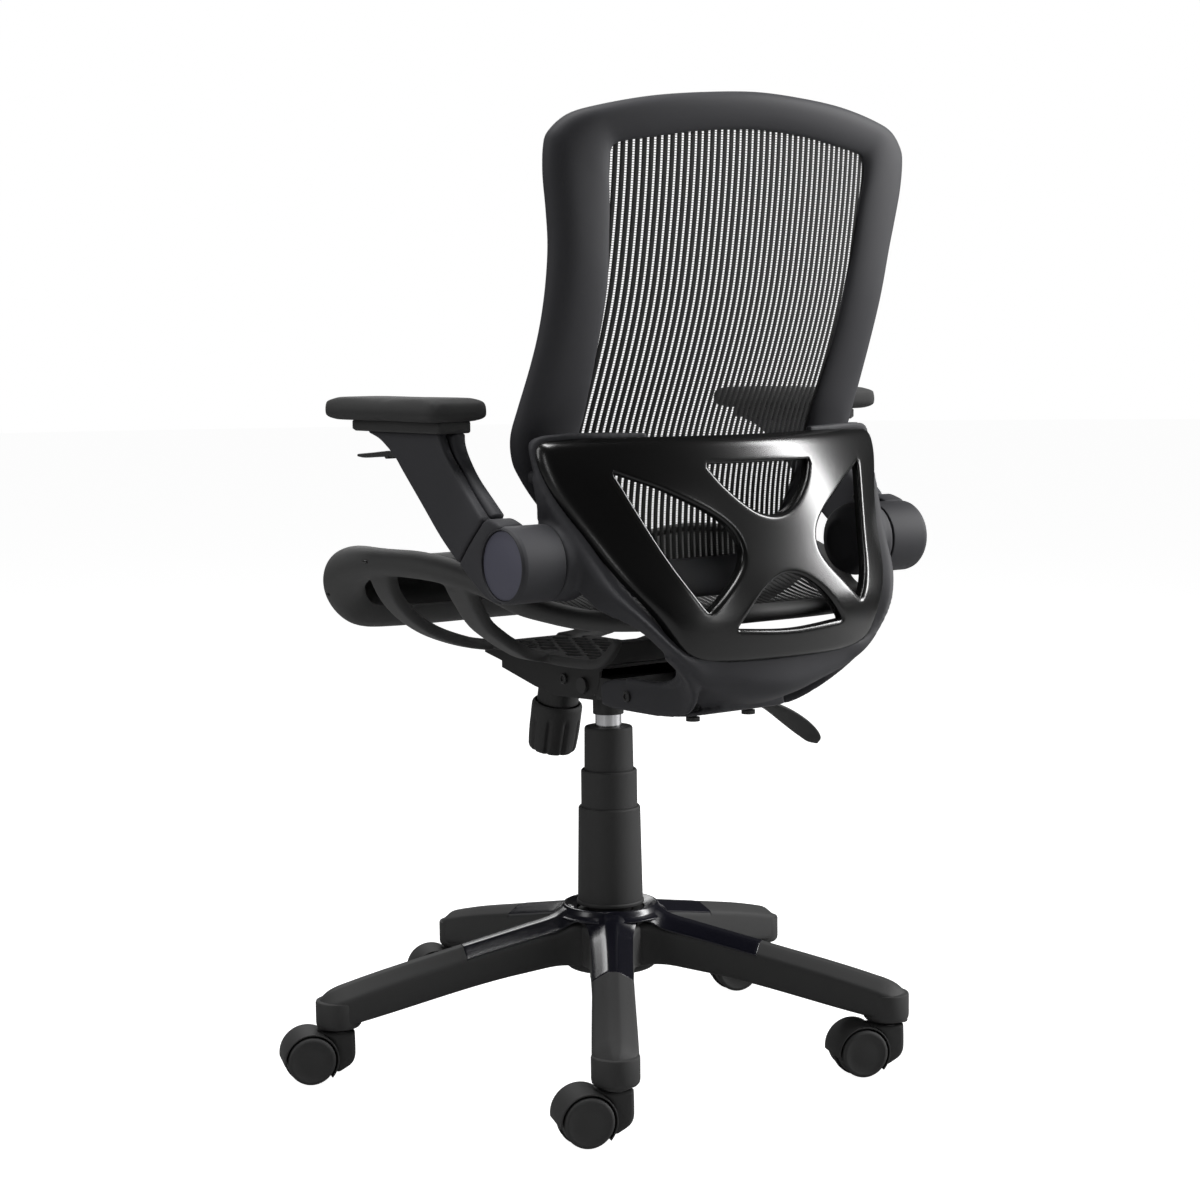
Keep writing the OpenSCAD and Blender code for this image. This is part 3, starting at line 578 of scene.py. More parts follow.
# half-width of a leg along it: it flares into its neighbours at the hub
leg_half = curve([(20, 34), (42, 32), (52, 27.5), (66, 24.2), (90, 23), (300, 23)], 3)
leg_top = curve([(28, 154.6), (54, 154.4), (62, 150.6), (90, 145.1), (167, 128), (290, 99), (302, 95.6),
                 (313, 90.5), (320, 84.5), (324, 79)], 2)
leg_under = curve([(28, 98), (60, 101), (104, 96), (278, 62), (330, 52)], 5)
# a leg's section from its middle to its edge: share of the half-width, and drop below the top
CROWN = np.array([(0, 0), (0.12, 0), (0.22, 0.05), (0.30, 0.6), (0.52, 3.6), (0.76, 6.9), (0.87, 8.4), (0.95, 9.9),
                  (0.99, 12.2), (1.0, 15.0)])
FOOT = np.array([(1.0, 6.0), (0.98, 2.6), (0.93, 0.9), (0.85, 0.2), (0.5, 0), (0, 0)])


def leg_surface():
    """A leg along +X: its section is a crowned top over upright sides, narrowing to a round nose over the stem."""
    nose = STEM_R + 22.3 * np.sin(np.linspace(0, 1, 18)[1:] * np.pi / 2 * 0.995)
    s = np.concatenate([np.linspace(26, 70, 24), np.linspace(74, TRIM_END - 0.6, 26),
                        [TRIM_END - 0.1, TRIM_END + 0.1], np.linspace(TRIM_END + 1, STEM_R, 36), nose])
    round_end = np.sqrt(np.clip(22.4**2 - (s - STEM_R) ** 2, 0.01, None))
    half = np.where(s > STEM_R, np.minimum(round_end, 22.4), leg_half(s))
    top = leg_top(s) - np.where(s < TRIM_END, 2.2, 0)
    flat = half[:, None] / 23
    right_y = np.hstack([half[:, None] * CROWN[:, 0], half[:, None] * FOOT[:, 0]])
    under = np.minimum(leg_under(s), top - 16)
    right_z = np.hstack([top[:, None] - CROWN[:, 1] * np.minimum(flat, 1.0), under[:, None] + FOOT[:, 1]])
    y = np.hstack([right_y, -right_y[:, -2:0:-1]])
    z = np.hstack([right_z, right_z[:, -2:0:-1]])
    x = np.broadcast_to(s[:, None], y.shape)
    return skin(np.stack([x, y, z], -1))


def trim_surface():
    """Gloss strip over a leg: the crowned top's own line, and the same line 1.8 mm below it."""
    s = np.concatenate([np.linspace(44, 70, 22), np.linspace(72, TRIM_END - 0.8, 40), [TRIM_END]])
    near = curve([(44, 160.5), (50, 159.6), (55, 156.8), (61, 153.0), (72, 149.1), (90, 145.1), (167, 128)], 1.6)
    top = near(s) + 0.3 - np.where(s >= TRIM_END, 0.5, 0)
    c = CROWN[:8]
    half = leg_half(s)[:, None] + 0.5
    y = np.hstack([-half * c[::-1, 0], half * c[1:, 0]])
    z = top[:, None] - np.concatenate([c[::-1, 1], c[1:, 1]])
    low = z - 1.9
    x = np.broadcast_to(s[:, None], y.shape)
    outer = np.stack([x, y, z], -1)
    inner = np.stack([x, y * 0.985, low], -1)[:, ::-1]
    return skin(np.concatenate([outer, inner], 1))


class CHAIR_OT_base(bpy.types.Operator):
    """Star base with five legs, and its gloss trim"""
    bl_idname = "chair.base"
    bl_label = "Star base"

    def execute(self, context):
        collar = solid_lathe([(0, 54), (18.5, 54), (21.6, 54.9), (23.3, 57), (23.8, 60), (23.8, 81), (23.2, 82.6),
                              (21.5, 83.4), (0, 83.4)], 72)
        leg = join(leg_surface(), moved(collar, shift=(STEM_R, 0, 0)))
        hub = lathe(eased([(23.5, 92), (46, 92), (49.7, 96), (49.7, 154), (23.5, 154)], 2), 120)
        legs = [moved(leg, turn_z(a)) for a in LEG_ANGLES]
        build("base_star", join(hub, *legs), "base_nylon", "base", ["star_base"])
        ring = lathe(eased([(36.2, 155.2), (36.2, 156.6), (42, 158.2), (48.5, 161.2), (50.6, 161.2), (52.4, 158.6),
                            (54.6, 155.4), (58, 152.6), (60.5, 151.4), (60, 150.2), (54, 151), (50, 154.6)], 0.8),
                            160)
        strips = [moved(trim_surface(), turn_z(a)) for a in LEG_ANGLES]
        build("base_gloss_trim", join(ring, *strips), "gloss_trim", "base", ["base_trim"])
        return {"FINISHED"}


WHEEL_R = 25.0
TRAIL = 32.0
TRAIL_ANGLE = -21.0
TO_Y = np.array([[1, 0, 0], [0, 0, 1], [0, -1, 0]], float)


def caster_place(surface, k):
    a = math.radians(LEG_ANGLES[k])
    return moved(surface, turn_z(TRAIL_ANGLE), (STEM_R * math.cos(a), STEM_R * math.sin(a), 0))


def hood_surface():
    """Twin-wheel hood: an arc of shell over the wheels, a web between them and a block round the stem."""
    turn = np.radians(np.linspace(-6, 222, 60))
    section = eased([(26.8, -21.8), (28.4, -21.8), (28.4, 21.8), (26.8, 21.8)], 0.7)
    r, y = section[None, :, 0], section[None, :, 1]
    shell = skin(np.stack([TRAIL + r * np.cos(turn)[:, None], np.broadcast_to(y, (60, len(section))),
                           WHEEL_R + r * np.sin(turn)[:, None]], -1))
    middle = solid_lathe([(0, -3.6), (26.5, -3.6), (26.9, -3), (26.9, 3), (26.5, 3.6), (0, 3.6)], 72)
    middle = moved(middle, TO_Y, (TRAIL, 0, WHEEL_R))
    outline = loop_of([(-15, 51), (-15.3, 34), (-14.6, 23), (-10, 15.5), (2, 8.5)], [(2, 8.5), (6.5, 10), (7.5, 20),
                      (8, 34), (12, 43), (20, 51)], [(20, 51), (2, 51.2), (-15, 51)], step=1.6)
    block = slab(outline, -15, 15, 1, rim=5.0, spacing=5, step=1.6)
    cap = solid_lathe([(0, 48), (12.6, 48), (13.4, 48.8), (13.4, 50.8), (12.2, 51.2), (0, 51.2)], 48)
    return join(outward(shell), middle, block, cap)


def wheel_surface(side):
    """Solid of revolution about the axle: a flat tread with round shoulders and a faintly dished face."""
    profile = [(0, 0.5), (22.5, 0.5), (24.2, 1.0), (25, 2.6), (25, 16.2), (24.6, 18.2), (23.2, 19.5), (21.6, 19.9),
               (20.6, 19.8), (19.6, 19.3), (12, 19.6), (4, 19.9), (0, 20)]
    wheel = solid_lathe(profile, 96)
    turn = TO_Y * [[1], [side], [1]]
    placed = moved(wheel, turn, (TRAIL, side * 4.0, WHEEL_R))
    return outward(placed)


class CHAIR_OT_casters(bpy.types.Operator):
    """Five twin-wheel casters"""
    bl_idname = "chair.casters"
    bl_label = "Casters"

    def execute(self, context):
        hood, wheels = hood_surface(), {"a": wheel_surface(1), "b": wheel_surface(-1)}
        for k in range(5):
            n = k + 1
            build(f"caster_hood_{n}", caster_place(hood, k), "caster_plastic", f"caster_{n}",
                  [f"caster_{n}_hood"])
            for w, wheel in wheels.items():
                build(f"caster_roller_{n}{w}", caster_place(wheel, k), "wheel_tread", f"caster_{n}_wheel_{w}",
                      [f"caster_{n}_wheel_{w}"])
            paint("steel", f"caster_{n}_axle")
        paint("steel", "caster_stems")
        return {"FINISHED"}


# ---------------------------------------------------------------- column

def sleeve(z, height, low_r, high_r, wall=1.6):
    """Tapered cover with a rounded lip and a shallow bead round its foot."""
    return lathe(eased([(low_r - wall, z), (low_r - 0.4, z), (low_r, z + 1.2), (low_r - 0.1, z + 3),
                        (high_r, z + height - 1.6), (high_r - 1.3, z + height), (high_r - wall - 1.6, z + height),
                        (high_r - wall - 0.6, z + height - 3)], 0.6), 128)


class CHAIR_OT_column(bpy.types.Operator):
    """Three telescopic covers over the chromed gas cylinder"""
    bl_idname = "chair.column"
    bl_label = "Gas column"

    def execute(self, context):
        foot = lathe(eased([(35.0, 161.2), (36.4, 161.2), (36.4, 164), (35.6, 165.2), (35.0, 165.2)], 0.5), 128)
        build("column_lower_cover", join(sleeve(161, 106, 35.3, 33.3), foot), "cover_plastic", "base",
              ["lower_cover"])
        build("column_middle_cover", sleeve(207, 100, 30.6, 30.1), "cover_plastic", "middle_sleeve",
              ["middle_cover"])
        top = lathe(eased([(14.2, 349.4), (25.4, 349.4), (25.4, 352.6), (24.6, 353.2), (14.2, 353.2)], 0.5), 96)
        build("column_upper_cover", join(sleeve(253, 100, 27.2, 25.9), top), "cover_plastic", "lift",
              ["upper_cover"])
        paint("chrome", "gas_cylinder")
        paint("black_steel", "outer_column")
        paint("bush", "guide_bush")
        paint("steel", "piston_rod", "thrust_bearing", "release_pin", "arm_pivots")
        return {"FINISHED"}


# ---------------------------------------------------------------- mechanism

KNOB_AT = (0, -98, 350)
KNOB_LEAN = -13
FLUTES, FLUTE_DEPTH, FLUTE_HALF = 9, 2.3, 0.085
LEVER_AT = (-46, 0, 393)
BOLTS_AT = ((60.2, 4, 410.5), (66.6, 122.5, 405.4))


class CHAIR_OT_mechanism(bpy.types.Operator):
    """Tension knob, lift lever, and the painted housing, pan and bolts"""
    bl_idname = "chair.mechanism"
    bl_label = "Tilt mechanism"

    def execute(self, context):
        def flutes(a, z):
            away = ((a * FLUTES / (2 * np.pi) + 0.5) % 1 - 0.5) * 2 * np.pi / FLUTES
            fade = np.clip((8 - z) / 10, 0, 1)
            return FLUTE_DEPTH * np.exp(-((away / FLUTE_HALF) ** 2)) * fade * fade * (3 - 2 * fade)

        z = np.linspace(-31, 14, 26)
        side = np.stack([np.interp(z, [-31, -20, -8, 14], [26.6, 27.5, 28, 28]), z], 1)
        knob = solid_lathe(np.vstack([[(0, -37), (12, -37), (20.5, -36.8), (23.6, -35.8), (25.6, -33.8)], side,
                                      [(27.9, 16.4), (27.2, 18.4), (26, 19.6), (24.8, 19.6), (24.2, 18.6),
                                       (24.2, 11.5), (0, 11.5)]]), 216, flutes)
        build("knob_tension", moved(knob, turn_x(KNOB_LEAN), KNOB_AT), "knob_plastic", "knob",
              ["tension_knob"])
        rod = tube([LEVER_AT, (-62, 0, 390), (-105, 0, 381), (-150, 0, 371), (-205, 0, 358.5), (-226, 0, 352)], 4.5,
                   3.5, (0, 1, 0), 40, 16)
        rod_to_blade = [(-212, 0, 356.5), (-224, 0, 353), (-238, 0, 346.5), (-254, 0, 337), (-270, 0, 326),
                        (-284, 0, 315), (-293, 0, 306.5), (-298, 0, 302)]
        blade = tube(rod_to_blade, (4, 8, 12, 15, 16, 14.6, 10.5, 2), (3.4, 3.4, 3.2, 3.0, 2.8, 2.6, 2.4, 1.2),
                     (0, 1, 0.45), 60, 28, 2.6)
        root = moved(solid_lathe(eased([(0, -7), (6, -7), (6, 7), (0, 7)], 0.6), 40), TO_Y, LEVER_AT)
        build("lever_lift", join(rod, blade, root), "knob_plastic", "lever", ["lift_lever"])
        head = [(0, 1.6), (2.7, 1.6), (3.0, 2.8), (5.0, 2.8), (5.6, 2.2), (5.6, -0.5), (0, -0.5)]
        sockets = [moved(solid_lathe(head[::-1], 36), TO_X, at) for at in BOLTS_AT]
        build("mechanism_bolt_heads", both_sides(join(*sockets)), "dark_fasteners", "seat")
        paint("black_steel", "tilt_housing", "seat_pan")
        paint("dark_fasteners", "tilt_spring", "seat_bolts", "bracket_bolts", "pivot_pin")
        return {"FINISHED"}


# ---------------------------------------------------------------- seat

SEAT_EDGE = [(0, -253), (100, -253), (181, -243), (227.5, -207), (244, -140), (247, -50), (245, 40), (229, 120),
             (206, 165), (178, 215), (130, 246), (70, 255)]
rail_z = curve([(-253, 490), (-240, 496), (-218, 505), (-200, 512), (-150, 529), (-50, 540), (50, 537), (100, 528),
                (150, 509), (185, 501), (255, 495)], 8)
rail_half_h = curve([(-253, 39.5), (-240, 40), (-218, 34), (-190, 29), (-160, 24), (-100, 16), (0, 14), (120, 12),
                     (255, 9)], 8)
rail_half_w = curve([(-250, 26), (-200, 24), (-100, 18), (100, 17), (255, 14)], 8)
sling_sag = curve([(-250, 12), (-150, 26), (-50, 34), (80, 34), (150, 20), (230, 6)], 12)
FRONT_RIB = [(40, -136, 431.5), (66, -136, 434), (100, -133, 441), (146, -121, 457), (186, -103, 478),
             (212, -90, 499), (226, -83, 520), (228, -81, 536)]
REAR_RIB = [(40, -32, 429.5), (64, -31, 431), (90, -27, 437), (118, -12, 449), (146, 5, 462), (179, 26, 480),
            (205, 46, 501), (224, 60, 522), (227, 66, 536)]
TAIL_RIB = [(58, -30, 429), (61, 10, 429), (61.5, 45, 430), (61, 70, 433.5), (60.5, 86, 444), (60, 99, 459)]


def seat_ring():
    """Seat frame: a C-shaped moulding, open towards the middle, carried round the seat's edge."""
    right = np.array(SEAT_EDGE, float)
    p = spline(np.vstack([right, [(0, 255)], right[:0:-1] * (-1, 1)]), 260, closed=True)
    ahead = np.roll(p, -1, 0) - np.roll(p, 1, 0)
    out = np.stack([ahead[:, 1], -ahead[:, 0]], 1) / np.linalg.norm(ahead, axis=1, keepdims=True)
    a, h = rail_half_w(p[:, 1])[:, None], rail_half_h(p[:, 1])[:, None]
    turn = np.radians(np.linspace(122, -158, 34))[None]
    thick = 5.5
    far = np.concatenate([a * np.cos(turn), ((a - thick) * np.cos(turn))[:, ::-1]], 1)
    rise = np.concatenate([h * np.sin(turn), (np.maximum(h - thick, 2.5) * np.sin(turn))[:, ::-1]], 1)
    x = (p[:, 0:1] - out[:, 0:1] * a) + out[:, 0:1] * far
    y = (p[:, 1:2] - out[:, 1:2] * a) + out[:, 1:2] * far
    return skin(np.stack([x, y, rail_z(p[:, 1])[:, None] + rise], -1), loop=True)


def sling_z(x, y):
    return rail_z(y) + rail_half_h(y) - 8 - sling_sag(y) * (1 - (x / 228) ** 2)


class CHAIR_OT_seat_frame(bpy.types.Operator):
    """Seat frame, its four ribs and the lattice plate in the middle"""
    bl_idname = "chair.seat_frame"
    bl_label = "Seat frame"

    def execute(self, context):
        ribs = [tube(FRONT_RIB, (17, 15, 15, 15, 15.5, 16.5, 19, 24), (5.5, 5.8, 6.2, 6.4, 6.4, 6.6, 7, 7),
                     (0, 1, 0), 90, 40, 6.0),
                tube(REAR_RIB, (17, 15, 15, 15, 15, 15.5, 17, 20, 25), (5.5, 5.8, 6.2, 6.4, 6.4, 6.6, 6.8, 7, 7),
                     (0, 1, 0), 90, 40, 6.0)]
        ribs.append(tube(TAIL_RIB, (8, 7, 6, 6, 6, 5), (5.6, 5.6, 5.6, 5.6, 5.4, 4.5), (1, 0, 0), 60, 24, 3.4))
        body = join(seat_ring(), *[both_sides(r) for r in ribs])
        piece = build("seat_frame_moulding", body, "seat_plastic", "seat", ["seat_frame"], sharp=0)
        melted(piece, voxel=2.4, rounds=3)
        outline = straight_loop([(-66, -146), (66, -146), (66, 71), (-66, 71)], step=6)
        holes = []
        for j in range(5):
            for i in range(-2, 3):
                holes.append((i * 24, -120 + j * 42))
            for i in range(-2, 2):
                if j < 4:
                    holes.append((i * 24 + 12, -99 + j * 42))
        shape = np.array([(-9.6, 0), (0, -17), (9.6, 0), (0, 17)], float)
        holes = np.array(holes, float)
        holes = [straight_loop(shape + middle, step=4.5) for middle in holes]
        lattice = slab(outline, 430, 435, 2, rim=1.2, holes=holes, spacing=12, step=4)
        lip = loop_of([(64, 430), (71, 430.6), (79, 436), (90, 447), (99, 457)], [(99, 457), (95.5, 460)],
                      [(95.5, 460), (86, 451), (75, 441), (68, 436), (62, 435)], [(62, 435), (64, 430)], step=1.5)
        build("seat_lattice", join(lattice, slab(lip, -60, 60, 0, rim=1.8, spacing=8)), "seat_plastic", "seat",
              ["seat_support"])
        # small oval vents in the frame's sides
        edge = spline(np.array(SEAT_EDGE, float), 200)
        vents = []
        for y, slope in ((-196, -0.62), (-84, 0.1)):
            p = edge[60:][np.argmin(np.abs(edge[60:, 1] - y))]
            a, h = float(rail_half_w(y)), float(rail_half_h(y))
            n = np.array([0.93, -0.37]) if y < -150 else np.array([1.0, -0.05])
            q = p - n * a * (1 - math.cos(slope))
            along = np.array([-n[1], n[0]]) * 4.5
            z = float(rail_z(y)) + h * math.sin(slope)
            vents.append(both_sides(tube([(*(q - along), z), (*q, z), (*(q + along), z)], (1.3, 1.9, 1.3),
                                         (1.2, 1.8, 1.2), (0, 0, 1), sides=16)))
        build("seat_vents", join(*vents), "dark_fasteners", "seat")
        return {"FINISHED"}


def cloth(name, place, half, low, high, run, body, node, held_by):
    """Banded mesh on a surface place(across, along): flat bands, and round threads that cross them and the gaps.
    A band is there wherever its distance from the middle is under half(along)."""
    sizes = bpy.context.scene.chair_sizes
    pitch, gap = sizes.band_pitch / MM, sizes.band_gap / MM
    weft, thread = sizes.thread_pitch / MM, sizes.thread_width / MM / 2
    along = np.arange(low, high + 0.1, run)
    reach = half(along)
    parts, uvs = [], []

    def lay(x, s, off):
        """One band or thread: the ring of points (x, s) on the surface, each lifted by off along its normal."""
        x, s = np.broadcast_arrays(x, s)
        p, normal = place(x, s)
        parts.append(skin(p + normal * off[None, :, None]))
        uv = np.stack([x, s], -1)
        uvs.append(np.vstack([uv.reshape(-1, 2), uv[0].mean(0), uv[-1].mean(0)]))

    turn = np.arange(8) * np.pi / 4
    wide = np.sign(np.cos(turn)) * np.abs(np.cos(turn)) ** 0.6 * (pitch - gap) / 2
    deep = np.sin(turn) * 0.32
    count = int(reach.max() // pitch) + 1
    for k in range(-count, count + 1):
        at = (k + 0.5) * pitch
        held = np.flatnonzero(np.abs(at) < reach)
        if len(held) < 3:
            continue
        for piece in np.split(held, np.flatnonzero(np.diff(held) > 1) + 1):
            if len(piece) < 3:
                continue
            lay(at + wide, along[piece][:, None], deep)
    turn = np.radians([45, 135, 225, 315])
    for s in np.arange(low + weft / 2, high, weft):
        end = float(np.interp(s, along, reach)) - 1
        x = np.linspace(-end, end, max(8, int(2 * end / 6.5)))
        lay(x[:, None], s + thread * np.cos(turn), thread * np.sin(turn))
    whole = join(*parts)
    piece = build(name, whole, "mesh", body, [node], sharp=0)
    uv = np.vstack(uvs)
    layer = piece.data.uv_layers.new(name="cloth_mm")
    corners = np.empty(len(piece.data.loops), np.int32)
    piece.data.loops.foreach_get("vertex_index", corners)
    layer.data.foreach_set("uv", uv[corners].astype(np.float32).ravel())
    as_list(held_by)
    return piece


class CHAIR_OT_seat_mesh(bpy.types.Operator):
    """Seat mesh, slung between the rails"""
    bl_idname = "chair.seat_mesh"
    bl_label = "Seat mesh"

    def execute(self, context):
        half = curve([(-226, 140), (-206, 178), (-180, 200), (-130, 219), (-50, 224), (40, 224), (120, 208),
                      (165, 187), (215, 153), (244, 104)], 5)

        def place(x, y):
            p = np.stack([x, y, sling_z(x, y)], -1)
            return p, np.array([0, 0, 1.0])

        cloth("seat_mesh_cloth", place, half, -224, 243, 8.0, "seat", "seat_mesh", ["seat_frame_moulding"])
        return {"FINISHED"}


# ---------------------------------------------------------------- backrest

back_depth = curve([(480, 166), (500, 158), (549, 150), (592, 150), (640, 157), (670, 166), (720, 188), (760, 205),
                    (800, 219), (870, 234), (941, 243), (1003, 246)], 12)
BACK_WRAP = 0.00062
BACK_OUTER = [(0, 999), (64, 996), (119, 990.5), (170, 981), (200, 972), (218, 957), (222.5, 944), (222, 918),
              (217, 886), (212.5, 855), (210.5, 820), (209.5, 775), (210.5, 740), (213, 700), (214, 672),
              (208, 648), (198, 631), (184, 612), (164, 588), (146, 566), (124, 540), (98, 517), (60, 506),
              (0, 505)]
BACK_INNER = [(0, 963), (63, 959.5), (118, 952), (149, 947), (158, 941), (160, 925), (157, 894), (154, 855),
              (151, 820), (150, 790), (149, 755), (147, 715), (146, 690), (147, 672), (146, 645), (139, 618),
              (126, 592), (108, 570), (86, 553), (56, 546), (0, 545)]
BACK_MIDDLE = 760.0


def back_y(x, z):
    return back_depth(z) - BACK_WRAP * x * x


def rays(half_outline, angles):
    """Distance from the back's middle to a closed outline in each direction."""
    right = np.array(half_outline, float)
    p = spline(np.vstack([right[:-1], right[-1:], right[-2:0:-1] * (-1, 1)]), 1400, closed=True)
    p = p - (0, BACK_MIDDLE)
    a = np.unwrap(np.arctan2(p[:, 0], p[:, 1]))
    r = np.linalg.norm(p, axis=1)
    order = np.argsort(a)
    a, r = a[order], r[order]
    a = np.concatenate([a - 2 * np.pi, a, a + 2 * np.pi])
    return np.interp(angles, a, np.tile(r, 3))


class CHAIR_OT_back_frame(bpy.types.Operator):
    """Back frame: a moulded band from the mesh window's edge to the outer outline"""
    bl_idname = "chair.back_frame"
    bl_label = "Back frame"

    def execute(self, context):
        angles = np.linspace(0, 2 * np.pi, 480, endpoint=False)
        outer, inner = rays(BACK_OUTER, angles)[:, None], rays(BACK_INNER, angles)[:, None] + 0.5
        turn = np.linspace(0, 2 * np.pi, 44, endpoint=False)[None]
        share = 0.5 + 0.5 * np.sign(np.cos(turn)) * np.abs(np.cos(turn)) ** 0.9
        rise = np.sign(np.sin(turn)) * np.abs(np.sin(turn)) ** 0.8
        r = inner + (outer - inner) * share
        x = r * np.sin(angles)[:, None]
        z = BACK_MIDDLE + r * np.cos(angles)[:, None]
        # fuller towards the outer edge, with a thin lip at the mesh
        thick = 7.0 + 8.5 * np.clip(share, 0, 1) ** 0.8
        y = back_y(x, z) + rise * thick
        band = skin(np.stack([x, y, z], -1), loop=True)
        build("back_frame_moulding", band, "satin_plastic", "seat", ["back_frame"])
        return {"FINISHED"}


class CHAIR_OT_back_mesh(bpy.types.Operator):
    """Back mesh, stretched in its frame"""
    bl_idname = "chair.back_mesh"
    bl_label = "Back mesh"

    def execute(self, context):
        edge = np.array([(x, z) for x, z in BACK_INNER if x > 0][::-1], float)
        sides = [(z, x + 5) for x, z in edge if 60 < x and z < 935]
        half = curve([(538, 62)] + sides + [(941, 165), (950, 160), (957, 138), (964, 104), (971, 70)], 1.5)

        def place(x, z):
            p = np.stack([x, back_y(x, z), z], -1)
            return p, np.array([0, 1.0, 0])

        cloth("back_mesh_cloth", place, half, 539, 970, 4.0, "seat", "back_mesh", ["back_frame_moulding"])
        return {"FINISHED"}


# ---------------------------------------------------------------- bracket and lumbar cover

cover_y0 = curve([(385, 215), (395, 255), (410, 272), (430, 285), (456, 297), (489, 304.5), (507, 305), (570, 285),
                  (640, 259.4), (666, 245.7), (700, 226)], 9)
cover_k2 = curve([(430, 0.9), (507, 0.95), (570, 1.15), (640, 1.34), (666, 1.4), (700, 1.4)], 9)
cover_k4 = curve([(430, 0.24), (455, 0.24), (600, 0.14), (665, 0), (700, 0)], 9)


def cover_y(x, z):
    """Depth of the cover's face: its middle line, less a square and a fourth-power term in x."""
    return cover_y0(z) - cover_k2(z) * 1e-3 * x**2 - cover_k4(z) * 1e-7 * x**4


COVER_EDGE = [[(0, 671), (90, 671.5), (170, 671.5), (198, 670.5)],
              [(198, 670.5), (208, 668), (212.5, 662), (213.3, 652)],
              [(213.3, 652), (211, 638), (204, 616), (183, 575), (164, 537), (140, 500), (125, 477)],
              [(125, 477), (117, 467), (107, 461), (92, 457.5), (60, 455.5), (0, 455)]]
SIDE_WINDOW = [[(156, 639), (135, 630), (118, 623), (97, 612), (76, 600), (60, 588), (50.5, 575), (48.5, 560),
                (56, 545), (76, 525), (96, 507)],
               [(96, 507), (105, 520), (118, 544), (130, 572), (142, 603), (152, 630), (156, 639)]]
TOP_WINDOW = [[(-65, 644), (65, 644)], [(65, 644), (53, 626), (36, 609), (19, 598), (0, 594), (-19, 598),
                                        (-36, 609), (-53, 626), (-65, 644)]]
LOW_WINDOW = [[(66, 489.5), (0, 485.5), (-66, 489.5)], [(-66, 489.5), (-53, 506), (-37, 522), (-18, 534), (0, 538),
                                                        (18, 534), (37, 522), (53, 506), (66, 489.5)]]


class CHAIR_OT_lumbar_cover(bpy.types.Operator):
    """Gloss lumbar cover with four windows, rolled rims and deep inner walls"""
    bl_idname = "chair.lumbar_cover"
    bl_label = "Lumbar cover"

    def execute(self, context):
        outline = loop_of(*COVER_EDGE, *reflected(COVER_EDGE), step=3.2)
        holes = [loop_of(*runs, step=2.6) for runs in (SIDE_WINDOW, reflected(SIDE_WINDOW), TOP_WINDOW, LOW_WINDOW)]
        depth = bpy.context.scene.chair_sizes.cover_depth / MM

        def front(xy, d_out, d_hole):
            x, z = xy.T
            y = cover_y(x, z) - roll(d_out, 9.0) - roll(d_hole, 5.0)
            return np.stack([x, y, z], 1)

        def back(xy, d_out, d_hole):
            x, z = xy.T
            wall = np.where(np.minimum(d_out, d_hole) < 2.6, depth, 4.4)
            y = cover_y(x, z) - np.maximum(wall, roll(d_out, 9.0) + 1.5)
            return np.stack([x, y, z], 1)

        shell = pierced(outline, holes, front, back, rings=(0.35, 1.0, 1.9, 3.0, 4.3, 6.2, 8.6), spacing=6.5)
        build("lumbar_cover_shell", shell, "gloss_cover", "seat", ["lumbar_cover"], sharp=30)
        return {"FINISHED"}


# the axis on which the arms flip up
ARM_Y, ARM_Z = 183.4, 554.6
# the bracket's strip: under the cover's edge, along its outer crease, and round its free edge
STRIP_A = [(104, 208, 666), (150, 199, 666), (184, 187, 664), (202, 179, 657), (204, 182, 642), (198, 195, 611),
           (182, 217, 576), (162, 238, 539), (140, 262, 503), (123, 277, 478), (104, 285, 465), (60, 290, 461),
           (0, 292, 460)]
STRIP_B = [(104, 210, 675.5), (150, 201, 676.5), (188, 190, 676.5), (214.5, 176, 671), (218, 177, 650),
           (213, 194, 614), (198, 221, 572), (183, 250, 532), (160, 275, 501), (137, 284, 476), (112, 286, 453),
           (88, 280, 437), (60, 284, 431), (30, 288, 424), (0, 290, 421)]
STRIP_C = [(104, 201, 675), (150, 191, 676), (187, 180, 676), (212, 164, 670), (211, 166, 646), (206, 178, 606),
           (198, 195, 549), (187, 231, 514), (158, 254, 494), (134, 260, 474), (108, 250, 452), (88, 236, 434),
           (60, 222, 410), (30, 212, 397), (0, 208, 393.5)]


